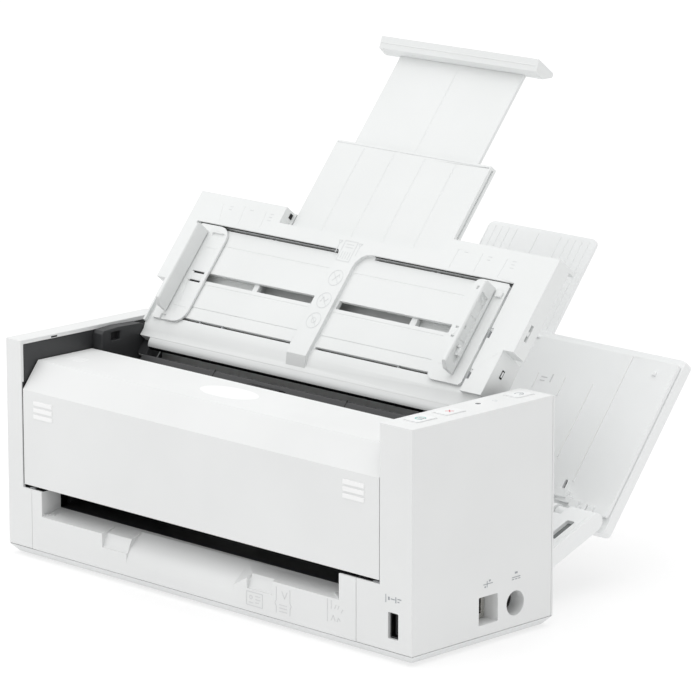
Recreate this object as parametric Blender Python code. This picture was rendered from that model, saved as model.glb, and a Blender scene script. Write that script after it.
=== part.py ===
# Sheet fed document scanner, compact folding type.
# Units in the helpers are millimetres in a working frame: x from the outer left side,
# y from the front face to the back, z up from the surface the feet stand on.
# SHIFT_X and SHIFT_Y move that frame so the finished object's box is centred on x = y = 0.
import bpy
import bmesh
import math
from mathutils import Matrix, Vector

# ---------------------------------------------------------------- driving dimensions
BODY_W = 312.0          # overall width
BODY_D = 107.2          # overall depth of the body
BASE_Z = 1.1            # underside of the base above the floor
CHAMFER_TOP = 5.7       # top of the base tub and its chamfer
CHAMFER_IN = 4.1
RIGHT_H = 125.4         # top of the right end cover, with the keys
LEFT_H = 123.4          # top of the left end cover
LEFT_T = 12.4           # thickness of the left end cover
RIGHT_T = 22.95         # thickness of the right end cover
COVER_SILL = 42.1       # lower edge of the front cover
COVER_BREAK_Z = 96.0    # front face bends back here
COVER_TOP_Z = 110.9     # flat top of the front cover
COVER_TOP_Y0 = 11.9
COVER_TOP_Y1 = 52.1
COVER_GAP = 0.75        # slit beside the front cover
PANEL_TOP_Z = 40.1      # top of the lower front panel
FOOT_L = 19.4           # width of the left end cover below the front cover
FOOT_R = 272.3          # inner side of the right end cover below the front cover
EXIT_X0, EXIT_X1 = 27.9, 259.7
EXIT_DEPTH = 11.6
PAPER_X = 144.2         # centre of the paper path
TRAY_X = 150.7          # centre of the input tray
TRAY_Y, TRAY_Z = 137.4, 189.2   # middle of the tray's top front edge
TRAY_TILT = 39.31       # degrees back from vertical
TRAY_HALF = 136.9
TRAY_LOW_HALF = 129.9
TRAY_STEP = 57.0        # distance down the tray where it narrows
PATH_REAR_N = -4.7      # rear guide surface of the paper path, tray coordinates
PATH_FRONT_N = -2.2
PC = PAPER_X - TRAY_X   # paper centre in tray coordinates
GUIDE_TRAVEL = 80.0
RACK_MODULE = 0.8
PINION_TEETH = 10
LINK_Y, LINK_Z = 99.0, 13.2     # axis of the rear link
LINK_RISE = 20.5        # degrees above horizontal
PANEL_Y, PANEL_Z = 236.7, 115.6  # top edge of the rear panel's inner face
PANEL_RISE = 51.5
PANEL_RIGHT = 288.3
PANEL_LEFT = 13.1
GAP = 0.3
SHIFT_X = -156.0
SHIFT_Y = -141.905
MM = 0.001

for old in list(bpy.data.objects):
    bpy.data.objects.remove(old, do_unlink=True)

SCENE = bpy.context.scene.collection


# ---------------------------------------------------------------- frames
class Frame:
    """A working frame: origin (mm), rotated by angle degrees about x, held by an empty at pivot."""

    def __init__(self, name, origin, angle, pivot=None):
        self.o = Vector(origin)
        self.a = math.radians(angle)
        self.rot = Matrix.Rotation(self.a, 3, 'X')
        p = Vector(pivot) if pivot is not None else self.o
        self.off = self.rot.transposed() @ (self.o - p)
        e = bpy.data.objects.new(name, None)
        e.empty_display_size = 0.02
        SCENE.objects.link(e)
        e.location = ((p.x + SHIFT_X) * MM, (p.y + SHIFT_Y) * MM, p.z * MM)
        e.rotation_euler = (self.a, 0.0, 0.0)
        self.empty = e


BODY = Frame("body_frame", (0, 0, 0), 0)


def tray_pt(x, v, n):
    """Tray coordinates (x from the tray centre, v down the tray, n out of its face) to the working frame."""
    t = math.radians(TRAY_TILT)
    return (TRAY_X + x, TRAY_Y - v * math.sin(t) - n * math.cos(t), TRAY_Z - v * math.cos(t) + n * math.sin(t))


def tray_yz(v, n):
    p = tray_pt(0, v, n)
    return (p[1], p[2])


TRAY_PIVOT = tray_pt(0, 96.9, -12.9)
TRAY = Frame("tray_hinge_axis", (TRAY_X, TRAY_Y, TRAY_Z), 90 - TRAY_TILT, TRAY_PIVOT)
LINK = Frame("rear_link_axis", (0, LINK_Y, LINK_Z), LINK_RISE)


def panel_yz(v, n):
    a = math.radians(PANEL_RISE)
    return (PANEL_Y - v * math.cos(a) - n * math.sin(a), PANEL_Z - v * math.sin(a) + n * math.cos(a))


PANEL_AXIS_V, PANEL_AXIS_N = 101.2, 5.1
PANEL = Frame("rear_panel_axis", (0, PANEL_Y, PANEL_Z), PANEL_RISE,
              (0,) + panel_yz(PANEL_AXIS_V, PANEL_AXIS_N))
COVER_AXIS = (3.6, 45.5)
COVER = Frame("front_cover_axis", (0, 0, 0), 0, (0, COVER_AXIS[0], COVER_AXIS[1]))


# ---------------------------------------------------------------- mesh helpers
def material(name, color, rough, metal=0.0):
    m = bpy.data.materials.new(name)
    m.use_nodes = True
    b = m.node_tree.nodes["Principled BSDF"]
    b.inputs["Base Color"].default_value = (*color, 1.0)
    b.inputs["Roughness"].default_value = rough
    b.inputs["Metallic"].default_value = metal
    m.diffuse_color = (*color, 1.0)
    return m


WHITE = ((0.83, 0.84, 0.83), 0.42, 0.0)
PALE = ((0.78, 0.79, 0.78), 0.45, 0.0)
CHARCOAL = ((0.025, 0.026, 0.028), 0.5, 0.0)
RUBBER = ((0.05, 0.05, 0.052), 0.8, 0.0)
STEEL = ((0.6, 0.6, 0.6), 0.3, 1.0)
GREEN = ((0.02, 0.18, 0.07), 0.5, 0.0)
GLASS = ((0.5, 0.6, 0.62), 0.08, 0.0)
ACETAL = ((0.75, 0.74, 0.7), 0.4, 0.0)
GREY = ((0.3, 0.31, 0.32), 0.5, 0.0)


def raw(verts, faces):
    """A temporary object from millimetre coordinates, normals turned outward."""
    me = bpy.data.meshes.new("tmp")
    bm = bmesh.new()
    vs = [bm.verts.new(v) for v in verts]
    for f in faces:
        bm.faces.new([vs[i] for i in f])
    bmesh.ops.recalc_face_normals(bm, faces=bm.faces)
    bm.to_mesh(me)
    bm.free()
    ob = bpy.data.objects.new("tmp", me)
    SCENE.objects.link(ob)
    return ob


def prism(axis, poly, a, b):
    """Polygon extruded along an axis: 'x' takes (y, z), 'y' takes (x, z), 'z' takes (x, y)."""
    def put(p, t):
        if axis == 'x':
            return (t, p[0], p[1])
        if axis == 'y':
            return (p[0], t, p[1])
        return (p[0], p[1], t)
    n = len(poly)
    verts = [put(p, a) for p in poly] + [put(p, b) for p in poly]
    faces = [tuple(range(n)), tuple(range(2 * n - 1, n - 1, -1))]
    for i in range(n):
        j = (i + 1) % n
        faces.append((i, j, n + j, n + i))
    return raw(verts, faces)


def box(x0, x1, y0, y1, z0, z1):
    return prism('x', [(y0, z0), (y1, z0), (y1, z1), (y0, z1)], x0, x1)


def circle(cu, cv, r, seg, start=0.0):
    return [(cu + r * math.cos(start + 2 * math.pi * i / seg), cv + r * math.sin(start + 2 * math.pi * i / seg))
            for i in range(seg)]


def rod(axis, cu, cv, r, a, b, seg=24):
    return prism(axis, circle(cu, cv, r, seg, math.pi / seg), a, b)


def turned(axis, cu, cv, profile, seg=24):
    """A stepped shaft: profile is a list of (position along the axis, radius), closed at both ends."""
    def put(u, v, t):
        if axis == 'x':
            return (t, u, v)
        if axis == 'y':
            return (u, t, v)
        return (u, v, t)
    verts, faces = [], []
    for t, r in profile:
        for u, v in circle(cu, cv, r, seg, math.pi / seg):
            verts.append(put(u, v, t))
    for k in range(len(profile) - 1):
        for i in range(seg):
            j = (i + 1) % seg
            faces.append((k * seg + i, k * seg + j, (k + 1) * seg + j, (k + 1) * seg + i))
    faces.append(tuple(range(seg)))
    last = (len(profile) - 1) * seg
    faces.append(tuple(range(last + seg - 1, last - 1, -1)))
    return raw(verts, faces)


def rrect(u0, u1, v0, v1, r, seg=4):
    pts = []
    for cu, cv, a0 in ((u1 - r, v0 + r, -90), (u1 - r, v1 - r, 0), (u0 + r, v1 - r, 90), (u0 + r, v0 + r, 180)):
        for i in range(seg + 1):
            a = math.radians(a0 + 90.0 * i / seg)
            pts.append((cu + r * math.cos(a), cv + r * math.sin(a)))
    return pts


def hull(points):
    """Convex outline of a set of (u, v) points, counter-clockwise."""
    pts = sorted(set((round(p[0], 5), round(p[1], 5)) for p in points))

    def half(seq):
        out = []
        for p in seq:
            while len(out) > 1 and ((out[-1][0] - out[-2][0]) * (p[1] - out[-2][1])
                                    - (out[-1][1] - out[-2][1]) * (p[0] - out[-2][0])) <= 1e-9:
                out.pop()
            out.append(p)
        return out
    lo, hi = half(pts), half(reversed(pts))
    return lo[:-1] + hi[:-1]


def boolean(ob, others, op):
    for o in others:
        m = ob.modifiers.new("b", 'BOOLEAN')
        m.operation = op
        m.solver = 'EXACT'
        m.object = o
        dg = bpy.context.evaluated_depsgraph_get()
        dg.update()
        me = bpy.data.meshes.new_from_object(ob.evaluated_get(dg))
        ob.modifiers.clear()
        old = ob.data
        ob.data = me
        bpy.data.meshes.remove(old)
        om = o.data
        bpy.data.objects.remove(o, do_unlink=True)
        bpy.data.meshes.remove(om)
    return ob


def cut(ob, *others):
    return boolean(ob, others, 'DIFFERENCE')


def join(ob, *others):
    return boolean(ob, others, 'UNION')


def keep(name, ob, look, frame=BODY, origin=None, smooth=False):
    """Names a finished solid, gives it its material and its place, with its origin on its own axis."""
    ob.name = name
    ob.data.name = name
    off = frame.off
    o = Vector(origin) if origin is not None else -off
    me = ob.data
    bm = bmesh.new()
    bm.from_mesh(me)
    bmesh.ops.remove_doubles(bm, verts=bm.verts, dist=1e-4)
    for v in bm.verts:
        v.co = (v.co - o) * MM
    bmesh.ops.recalc_face_normals(bm, faces=bm.faces)
    bm.to_mesh(me)
    bm.free()
    ob.location = (o + off) * MM
    ob.parent = frame.empty
    me.materials.clear()
    me.materials.append(material(name + "_material", *look))
    if smooth:
        me.shade_smooth()
        me.set_sharp_from_angle(angle=math.radians(35))
    return ob


# ================================================================ base and end covers
def make_base():
    lo, hi = BASE_Z, CHAMFER_TOP
    c = CHAMFER_IN
    rect = [(c, c, lo), (BODY_W - c, c, lo), (BODY_W - c, BODY_D - c, lo), (c, BODY_D - c, lo),
            (0, 0, hi), (BODY_W, 0, hi), (BODY_W, BODY_D, hi), (0, BODY_D, hi)]
    ob = raw(rect, [(0, 3, 2, 1), (4, 5, 6, 7), (0, 1, 5, 4), (1, 2, 6, 5), (2, 3, 7, 6), (3, 0, 4, 7)])
    cut(ob, box(5.2, BODY_W - 5.2, 5.2, BODY_D - 5.2, 3.4, 7.0))
    for x in (66.0, 264.0):
        for y in (34.0, 76.0):
            join(ob, rod('z', x, y, 2.6, 3.0, 9.7, 14))
    for x in FOOT_XS:
        for y in FOOT_YS:
            cut(ob, rod('z', x, y, 7.3, 0.0, 2.3, 20))
    keep("base_housing", ob, PALE)


FOOT_XS = (28.0, 284.0)
FOOT_YS = (20.0, 94.0)
make_base()
for fx, nx in ((FOOT_XS[0], "left"), (FOOT_XS[1], "right")):
    for fy, ny in ((FOOT_YS[0], "front"), (FOOT_YS[1], "rear")):
        keep("foot_%s_%s" % (ny, nx), turned('z', fx, fy, [(0.0, 6.4), (0.6, 7.0), (2.0, 7.0)], 20), RUBBER, smooth=True)

# left end cover: a shell open to the inside, with a wider foot under the front cover
ob = box(0, LEFT_T, 0, BODY_D - 1.6, CHAMFER_TOP + GAP, LEFT_H)
join(ob, box(LEFT_T - 2.0, FOOT_L, 0, 14.0, CHAMFER_TOP + GAP, PANEL_TOP_Z))
cut(ob, box(2.2, LEFT_T + 0.4, 2.0, BODY_D - 4.0, 5.0, LEFT_H - 2.2))
cut(ob, box(LEFT_T + 2.6, FOOT_L - 2.0, 2.0, 12.0, 5.0, PANEL_TOP_Z - 2.0))
keep("left_end_cover", ob, WHITE)

# right end cover with openings for the ports, the keys and the status light
KEYS = (("scan", 12.0, 27.5), ("cancel", 33.5, 49.0), ("power", 87.0, 101.0))
KEY_X0, KEY_X1 = 293.2, 304.2
XR = BODY_W - RIGHT_T
ob = box(XR, BODY_W, 0, BODY_D - 1.6, CHAMFER_TOP + GAP, RIGHT_H)
join(ob, box(FOOT_R, XR + 2.0, 0, 14.0, CHAMFER_TOP + GAP, PANEL_TOP_Z))
cut(ob, box(XR - 0.4, BODY_W - 2.2, 2.0, BODY_D - 4.0, 5.0, RIGHT_H - 2.2))
cut(ob, box(FOOT_R + 2.0, XR - 2.6, 2.0, 12.0, 5.0, PANEL_TOP_Z - 2.0))
for _, y0, y1 in KEYS:
    cut(ob, prism('z', rrect(KEY_X0, KEY_X1, y0, y1, 1.6, 3), RIGHT_H - 3.5, RIGHT_H + 1.0))
cut(ob, rod('z', 296.8, 64.7, 1.9, RIGHT_H - 3.5, RIGHT_H + 1.0, 16))
cut(ob, prism('y', rrect(295.1, 302.3, 12.7, 26.7, 0.6, 2), -1.0, 3.0))
# the side sockets sit at the bottom of deep sleeves
join(ob, prism('x', rrect(48.9, 65.8, 10.6, 28.1, 1.2, 2), 301.2, BODY_W - 1.0), rod('x', 78.0, 18.6, 7.8, 301.2, BODY_W - 1.0, 28))
cut(ob, prism('x', rrect(50.1, 64.6, 11.8, 26.9, 0.6, 2), 300.0, BODY_W + 1.0))
cut(ob, rod('x', 78.0, 18.6, 6.7, 300.0, BODY_W + 1.0, 28))
keep("right_end_cover", ob, WHITE)

# inner liners close the end covers and carry the pivots
LP = tray_yz(96.9, -12.9)
SHAFTS = {"pick": tray_yz(116.0, -15.9), "feed": tray_yz(138.0, -10.9), "exit": tray_yz(168.0, -10.9),
          "rear_exit": (93.0, 34.5), "motor": (89.0, 63.5)}


def liner(name, x0, x1, top):
    ob = box(x0, x1, 2.3, BODY_D - 4.3, 7.0, top)
    cut(ob, rod('x', LP[0], LP[1], 3.3, x0 - 1, x1 + 1, 20))
    cut(ob, rod('x', LINK_Y, LINK_Z, 2.05, x0 - 1, x1 + 1, 16))
    cut(ob, rod('x', COVER_AXIS[0], COVER_AXIS[1], 1.3, x0 - 1, x1 + 1, 14))
    keep(name, ob, CHARCOAL)


liner("left_inner_liner", LEFT_T - 2.2, LEFT_T, LEFT_H - 2.5)
liner("right_inner_liner", XR, XR + 2.2, RIGHT_H - 2.5)

# lower front panel with the exit recess
ob = box(FOOT_L + GAP, FOOT_R - GAP, 0, 14.0, CHAMFER_TOP + GAP, PANEL_TOP_Z)
cut(ob, prism('x', [(-1, 25.6), (EXIT_DEPTH + 4, 29.2), (EXIT_DEPTH + 4, 42), (-1, 42)], EXIT_X0, EXIT_X1))
cut(ob, prism('x', [(-1, 23.6), (EXIT_DEPTH, 28.36), (EXIT_DEPTH, 32), (-1, 32)], 77.4, 210.4))
# the wide middle part rolls over into the front face, with a sunk tongue on each side of it
CHUTE_R, CHUTE_Z0 = 14.0, 11.95
roll = [(CHUTE_R - CHUTE_R * math.cos(math.radians(a)), CHUTE_Z0 + CHUTE_R * math.sin(math.radians(a)))
        for a in (0, 8, 16, 24, 32, 40, 49.6)]
cut(ob, prism('x', [(-1, CHUTE_Z0)] + roll + [(EXIT_DEPTH, 28.36), (EXIT_DEPTH, 30), (-1, 30)], 97.0, 181.0))
for a, b in ((77.4, 97.1), (191.2, 210.4)):
    cut(ob, prism('x', [(-1, 17.9), (0.7, 18.3), (1.5, 19.4), (2.4, 22.6), (4.2, 25.6), (-1, 25.6)], a, b))
wedge = raw([(180.9, -1, 17.6), (180.9, EXIT_DEPTH, 28.36), (191.4, -1, 23.7), (191.4, EXIT_DEPTH, 28.36),
             (180.9, -1, 30), (180.9, EXIT_DEPTH, 30), (191.4, -1, 30), (191.4, EXIT_DEPTH, 30)],
            [(0, 1, 3, 2), (4, 6, 7, 5), (0, 4, 5, 1), (2, 3, 7, 6), (0, 2, 6, 4), (1, 5, 7, 3)])
cut(ob, wedge)
cut(ob, prism('x', [(2.4, 5), (15, 5), (15, 25.0), (11.8, 24.6), (2.4, 14.6)], FOOT_L + 3.0, FOOT_R - 3.0))
keep("base_front_panel", ob, WHITE)

# rear cover: full width plate behind the end covers, above the rear exit slot
ob = box(0.0, BODY_W, BODY_D - 1.3, BODY_D, CHAMFER_TOP + GAP, LEFT_H - 0.4)
cut(ob, box(12.7, XR - 0.3, BODY_D - 3, BODY_D + 1, 4.0, 42.0), box(12.7, XR - 0.3, BODY_D - 3, BODY_D + 1, 110.0, 130.0))
join(ob, box(13.0, XR - 0.6, BODY_D - 2.8, BODY_D - 0.8, 42.0, 110.0), box(XR + 1.0, BODY_W, BODY_D - 1.3, BODY_D, 110.0, RIGHT_H - 0.4))
for i in range(9):
    x = 60.0 + i * 8.0
    cut(ob, box(x, x + 2.4, BODY_D - 3, BODY_D + 1, 62.0, 84.0))
keep("rear_cover", ob, WHITE)


# ================================================================ front cover and what it carries
X0C, X1C = LEFT_T + COVER_GAP, XR - COVER_GAP
T = 2.4
outer = [(0.4, COVER_SILL), (0.4, COVER_BREAK_Z), (COVER_TOP_Y0, COVER_TOP_Z), (COVER_TOP_Y1, COVER_TOP_Z)]
inner = [(COVER_TOP_Y1, COVER_TOP_Z - T), (COVER_TOP_Y0 + 1.2, COVER_TOP_Z - T), (0.4 + T, COVER_BREAK_Z - 0.9),
         (0.4 + T, COVER_SILL)]
ob = prism('x', outer + inner, X0C, X1C)
cheek = [(0.4, COVER_SILL), (0.4, COVER_BREAK_Z), (COVER_TOP_Y0, COVER_TOP_Z), (COVER_TOP_Y1, COVER_TOP_Z),
         (COVER_TOP_Y1, COVER_TOP_Z - 5.0), (30.0, 84.0), (11.0, 52.0), (9.0, COVER_SILL)]
join(ob, prism('x', cheek, X0C, X0C + 2.2), prism('x', cheek, X1C - 2.2, X1C))
# hinge pins moulded on the side cheeks
join(ob, rod('x', COVER_AXIS[0], COVER_AXIS[1], 1.1, LEFT_T - 1.8, X0C + 1.0, 14),
     rod('x', COVER_AXIS[0], COVER_AXIS[1], 1.1, X1C - 1.0, XR + 1.8, 14))
keep("front_cover", ob, WHITE, COVER)


def path_plate(n0, n1, v0, v1, x0, x1):
    """A plate parallel to the paper path, given in tray coordinates."""
    return prism('x', [tray_yz(v0, n0), tray_yz(v1, n0), tray_yz(v1, n1), tray_yz(v0, n1)], x0, x1)


def path_box(v0, v1, n0, n1, x0, x1):
    return path_plate(n0, n1, v0, v1, x0, x1)


FI = PATH_FRONT_N
ob = prism('x', [tray_yz(113.0, FI), tray_yz(189.0, FI), tray_yz(189.0, FI + 2.2), tray_yz(115.5, FI + 2.2),
                 (COVER_TOP_Y1 - 0.6, 105.2), (COVER_TOP_Y1 - 0.6, 107.2), (COVER_TOP_Y1 + 0.6, 107.2)], 20.6, 280.4)
cut(ob, path_box(114.5, 129.5, FI - 3, FI + 12, PAPER_X - 14, PAPER_X + 14))
for xc in (52.0, 112.0, 176.4, 236.4):
    cut(ob, path_box(132.4, 143.3, FI - 3, FI + 4, xc - 8, xc + 8))
    cut(ob, path_box(162.4, 173.6, FI - 3, FI + 4, xc - 8, xc + 8))
cut(ob, path_box(144.6, 158.4, FI - 3, FI + 4, 27.0, 261.4))
for x in (22.0, 279.0):
    pl = prism('x', [tray_yz(113.5, FI + 1.5), tray_yz(188.0, FI + 1.5), tray_yz(180.0, FI + 14.0),
                     tray_yz(116.0, FI + 14.0)], x - 1.1, x + 1.1)
    join(ob, pl)
for v in (138.0, 168.0):
    yz = tray_yz(v, 1.5)
    cut(ob, rod('x', yz[0], yz[1], 1.75, 18, 283, 14))
yz = tray_yz(119.0, 5.5)
cut(ob, rod('x', yz[0], yz[1], 9.6, PAPER_X - 13.5, PAPER_X + 13.5, 24), rod('x', yz[0], yz[1], 3.2, PAPER_X - 20, PAPER_X + 20, 14))
for a in (PAPER_X - 17.6, PAPER_X + 15.2):
    pl = prism('x', [tray_yz(110.5, FI + 1.5), tray_yz(127.0, FI + 1.5), tray_yz(127.0, FI + 12.5), tray_yz(113.0, FI + 12.5)],
               a, a + 2.4)
    join(ob, pl)
    cut(ob, rod('x', yz[0], yz[1], 2.25, a - 0.5, a + 2.9, 14))
keep("cover_inner_guide", ob, CHARCOAL, COVER)

keep("front_scan_module", path_box(145.0, 158.0, FI + 1.3, FI + 14.0, 27.6, 260.8), CHARCOAL, COVER)
keep("front_scan_glass", path_box(145.4, 157.6, FI - 0.1, FI + 1.0, 29.0, 259.4), GLASS, COVER)


def tyre_shaft(c, shaft_r, tyre_r, ends, tyres, seg=20, pulley=False):
    prof = [(ends[0], shaft_r)]
    if pulley:
        prof = [(13.6, 9.0), (14.4, 9.0), (14.4, PULLEY_R), (20.2, PULLEY_R), (20.2, shaft_r)]
    for a, b in tyres:
        prof += [(a, shaft_r), (a, tyre_r), (b, tyre_r), (b, shaft_r)]
    prof.append((ends[1], shaft_r))
    out = []
    for p in prof:
        if not out or out[-1] != p:
            out.append(p)
    return turned('x', c[0], c[1], out, seg), c


PULLEY_R, MOTOR_R = 7.5, 5.0


TYRES = tuple((xc - 6.5, xc + 6.5) for xc in (52.0, 112.0, 176.4, 236.4))
ob, c = tyre_shaft(tray_yz(119.0, 5.5), 2.0, 9.0, (PAPER_X - 17.2, PAPER_X + 17.2), ((PAPER_X - 12, PAPER_X + 12),), 24)
keep("separation_roller", ob, RUBBER, COVER, (PAPER_X, c[0], c[1]), True)
ob, c = tyre_shaft(tray_yz(138.0, 1.5), 1.5, 5.0, (19.7, 280.3), TYRES, 16)
keep("feed_idler", ob, ACETAL, COVER, (PAPER_X, c[0], c[1]), True)
ob, c = tyre_shaft(tray_yz(168.0, 1.5), 1.5, 5.0, (19.7, 280.3), TYRES, 16)
keep("exit_idler", ob, ACETAL, COVER, (PAPER_X, c[0], c[1]), True)

# ================================================================ chassis and drive
RN = PATH_REAR_N
ob = path_plate(RN - 2.5, RN, 107.6, 189.4, 23.2, 277.8)
for x in (22.0, 276.5):
    side = [tray_yz(107.0, RN - 1.0), tray_yz(190.0, RN - 1.0), (24.0, 31.5), (24.0, 3.7), (84.0, 3.7), (84.0, 24.0),
            (102.0, 24.0), (102.0, 88.0), tray_yz(110.0, -19.0)]
    join(ob, prism('x', side, x, x + 2.5))
cut(ob, path_box(106.0, 129.5, RN - 3.4, RN + 1, PAPER_X - 22, PAPER_X + 22))
for xc in (52.0, 112.0, 176.4, 236.4):
    cut(ob, path_box(131.6, 144.5, RN - 3.4, RN + 1, xc - 8, xc + 8))
    cut(ob, path_box(161.0, 175.0, RN - 3.4, RN + 1, xc - 8, xc + 8))
cut(ob, path_box(145.7, 158.2, RN - 3.4, RN + 1, 27.0, 261.4))
for key in ("pick", "feed", "exit", "rear_exit", "motor"):
    c = SHAFTS[key]
    cut(ob, rod('x', c[0], c[1], 3.3, 20, 281, 16))
keep("chassis_frame", ob, CHARCOAL)

# lower guide under the rollers, from the front exit to the rear exit
keep("lower_guide", prism('x', [(14.8, 28.4), (30.0, 30.0), (60.0, 27.5), (103.8, 25.6), (103.8, 23.6), (60.0, 25.3),
                                (30.0, 27.8), (14.8, 26.2)], 26.0, 274.0), CHARCOAL)

keep("rear_scan_module", path_box(146.0, 157.8, RN - 15.0, RN - 1.4, 27.6, 260.8), CHARCOAL)
keep("rear_scan_glass", path_box(146.2, 157.6, RN - 1.1, RN - 0.1, 29.0, 259.4), GLASS)

ob, c = tyre_shaft(SHAFTS["pick"], 3.0, 12.0, (21.5, 281.0), ((PAPER_X - 20, PAPER_X + 20),), 28, True)
keep("pick_roller", ob, RUBBER, BODY, (PAPER_X, c[0], c[1]), True)
ob, c = tyre_shaft(SHAFTS["feed"], 3.0, 7.0, (21.5, 281.0), TYRES, 20, True)
keep("feed_roller", ob, RUBBER, BODY, (PAPER_X, c[0], c[1]), True)
ob, c = tyre_shaft(SHAFTS["exit"], 3.0, 7.0, (21.5, 281.0), TYRES, 20, True)
keep("exit_roller", ob, RUBBER, BODY, (PAPER_X, c[0], c[1]), True)
ob, c = tyre_shaft(SHAFTS["rear_exit"], 3.0, 6.0, (21.5, 281.0), TYRES, 20, True)
keep("rear_exit_roller", ob, RUBBER, BODY, (PAPER_X, c[0], c[1]), True)

c = SHAFTS["motor"]
ob = turned('x', c[0], c[1], [(13.6, 6.5), (14.4, 6.5), (14.4, MOTOR_R), (20.0, MOTOR_R), (20.0, 1.5), (25.6, 1.5)], 20)
keep("motor_pulley", ob, STEEL, BODY, (PAPER_X, c[0], c[1]), True)
ob = turned('x', c[0], c[1], [(25.9, 11.5), (54.0, 11.5), (54.0, 4.0), (56.5, 4.0)], 24)
keep("drive_motor", ob, STEEL, BODY, None, True)
pts_in, pts_out = [], []
for key in ("pick", "feed", "exit", "rear_exit", "motor"):
    c = SHAFTS[key]
    r = MOTOR_R if key == "motor" else PULLEY_R
    pts_in += circle(c[0], c[1], r + 0.3, 40)
    pts_out += circle(c[0], c[1], r + 1.5, 40)
ob = prism('x', hull(pts_out), 14.7, 19.7)
cut(ob, prism('x', hull(pts_in), 13.0, 21.0))
keep("drive_belt", ob, RUBBER)

# electronics
ob = box(62.0, 268.0, 30.0, 80.0, 10.0, 11.6)
for x0, x1, y0, y1, h in ((92, 116, 40, 64, 2.2), (130, 144, 44, 58, 1.6), (160, 184, 36, 46, 5.0), (205, 215, 50, 60, 7.0),
                          (235, 262, 34, 40, 6.0)):
    join(ob, box(x0, x1, y0, y1, 11.0, 11.6 + h))
keep("main_board", ob, GREEN)
keep("panel_board", box(292.6, 306.0, 6.0, 103.0, 114.0, 115.6), GREEN)
ob = prism('y', rrect(295.5, 301.9, 13.1, 26.3, 0.5, 2), 1.6, 16.0)
cut(ob, prism('y', rrect(296.0, 301.4, 13.6, 25.8, 0.3, 2), -1.0, 14.0))
join(ob, box(297.6, 299.2, 3.4, 15.0, 14.2, 25.2))
keep("usb_host_port", ob, STEEL)
ob = prism('x', rrect(50.5, 64.2, 12.2, 26.5, 0.5, 2), 292.0, 302.6)
cut(ob, box(294.5, 304.0, 53.0, 61.7, 14.6, 24.2))
join(ob, box(293.5, 301.2, 54.8, 59.9, 17.8, 20.9))
keep("usb_device_port", ob, STEEL)
ob = turned('x', 78.0, 18.6, [(292.0, 6.3), (302.6, 6.3)], 28)
cut(ob, rod('x', 78.0, 18.6, 4.6, 294.5, 304.0, 24))
join(ob, rod('x', 78.0, 18.6, 1.1, 293.5, 301.2, 12))
keep("power_jack", ob, CHARCOAL, BODY, None, True)
keep("status_light", turned('z', 296.8, 64.7, [(117.0, 2.6), (121.6, 2.6), (121.6, 1.6), (RIGHT_H - 0.1, 1.6)], 16), GLASS,
     BODY, None, True)
for nm, y0, y1 in KEYS:
    g = 0.35
    ob = prism('z', rrect(KEY_X0 + g, KEY_X1 - g, y0 + g, y1 - g, 1.3, 3), 120.6, RIGHT_H - 0.1)
    join(ob, box(KEY_X0 - 0.8, KEY_X1 + 0.8, y0 - 0.8, y1 + 0.8, 119.8, 121.2),
         rod('z', (KEY_X0 + KEY_X1) / 2, (y0 + y1) / 2, 1.6, 118.0, 121.0, 12))
    keep(nm + "_button", ob, WHITE, BODY, ((KEY_X0 + KEY_X1) / 2, (y0 + y1) / 2, RIGHT_H))

# tray pivot blocks on the liners
for nm, xa, xb in (("left", LEFT_T + 0.3, 20.4), ("right", 281.1, XR - 0.3)):
    ob = prism('x', [(53.2, 99.0), (99.0, 99.0), (99.0, 112.0), (90.0, 118.5), (83.0, 121.6), (66.0, 122.2), (54.6, 121.4),
                     (53.2, 119.6)], xa, xb)
    cut(ob, rod('x', LP[0], LP[1], 3.3, xa - 1, xb + 1, 20))
    if nm == "left":
        cut(ob, box(xb - 3.0, xb + 1, 60.0, 66.8, 115.0, 119.8))
    else:
        cut(ob, box(xa - 1, xa + 3.0, 60.0, 66.8, 115.0, 119.8))
    keep("tray_pivot_block_" + nm, ob, CHARCOAL)

# ================================================================ input tray (x from centre, y up the tray, z out of its face)
def tbox(x0, x1, v0, v1, n0, n1):
    return box(x0, x1, -v1, -v0, n0, n1)


POCK_X0, POCK_X1 = PC - 59.5, PC + 59.5
ob = tbox(-TRAY_HALF, TRAY_HALF, 0.0, TRAY_STEP, -10.9, 0.0)
join(ob, tbox(-TRAY_LOW_HALF, TRAY_LOW_HALF, TRAY_STEP - 2.0, 92.6, -9.6, 0.0),
     tbox(-TRAY_HALF, TRAY_HALF, 0.0, 1.9, -16.1, -10.0),
     tbox(POCK_X0 - 4.5, POCK_X1 + 4.5, 0.0, 92.6, -15.2, -9.0))
# lip that leads into the throat
join(ob, prism('x', [(-92.0, -9.6), (-92.0, -3.75), (-95.0, -4.0), (-96.8, -4.7), (-97.8, -5.8), (-97.4, -6.6)], -121.5, 121.5))
# side arms to the pivot
for a, b in ((-TRAY_LOW_HALF, -TRAY_LOW_HALF + 6.0), (TRAY_LOW_HALF - 6.0, TRAY_LOW_HALF)):
    front = [(-92.0, -1.0), (-96.5, -7.0)] if a > 0 else [(-90.5, -3.9), (-92.5, -9.2)]
    join(ob, prism('x', [(-TRAY_STEP, -1.0)] + front + [(-101.9, -9.5), (-101.9, -17.2), (-98.0, -18.4),
                         (-72.0, -18.4), (-TRAY_STEP, -17.6)], a, b))
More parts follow.
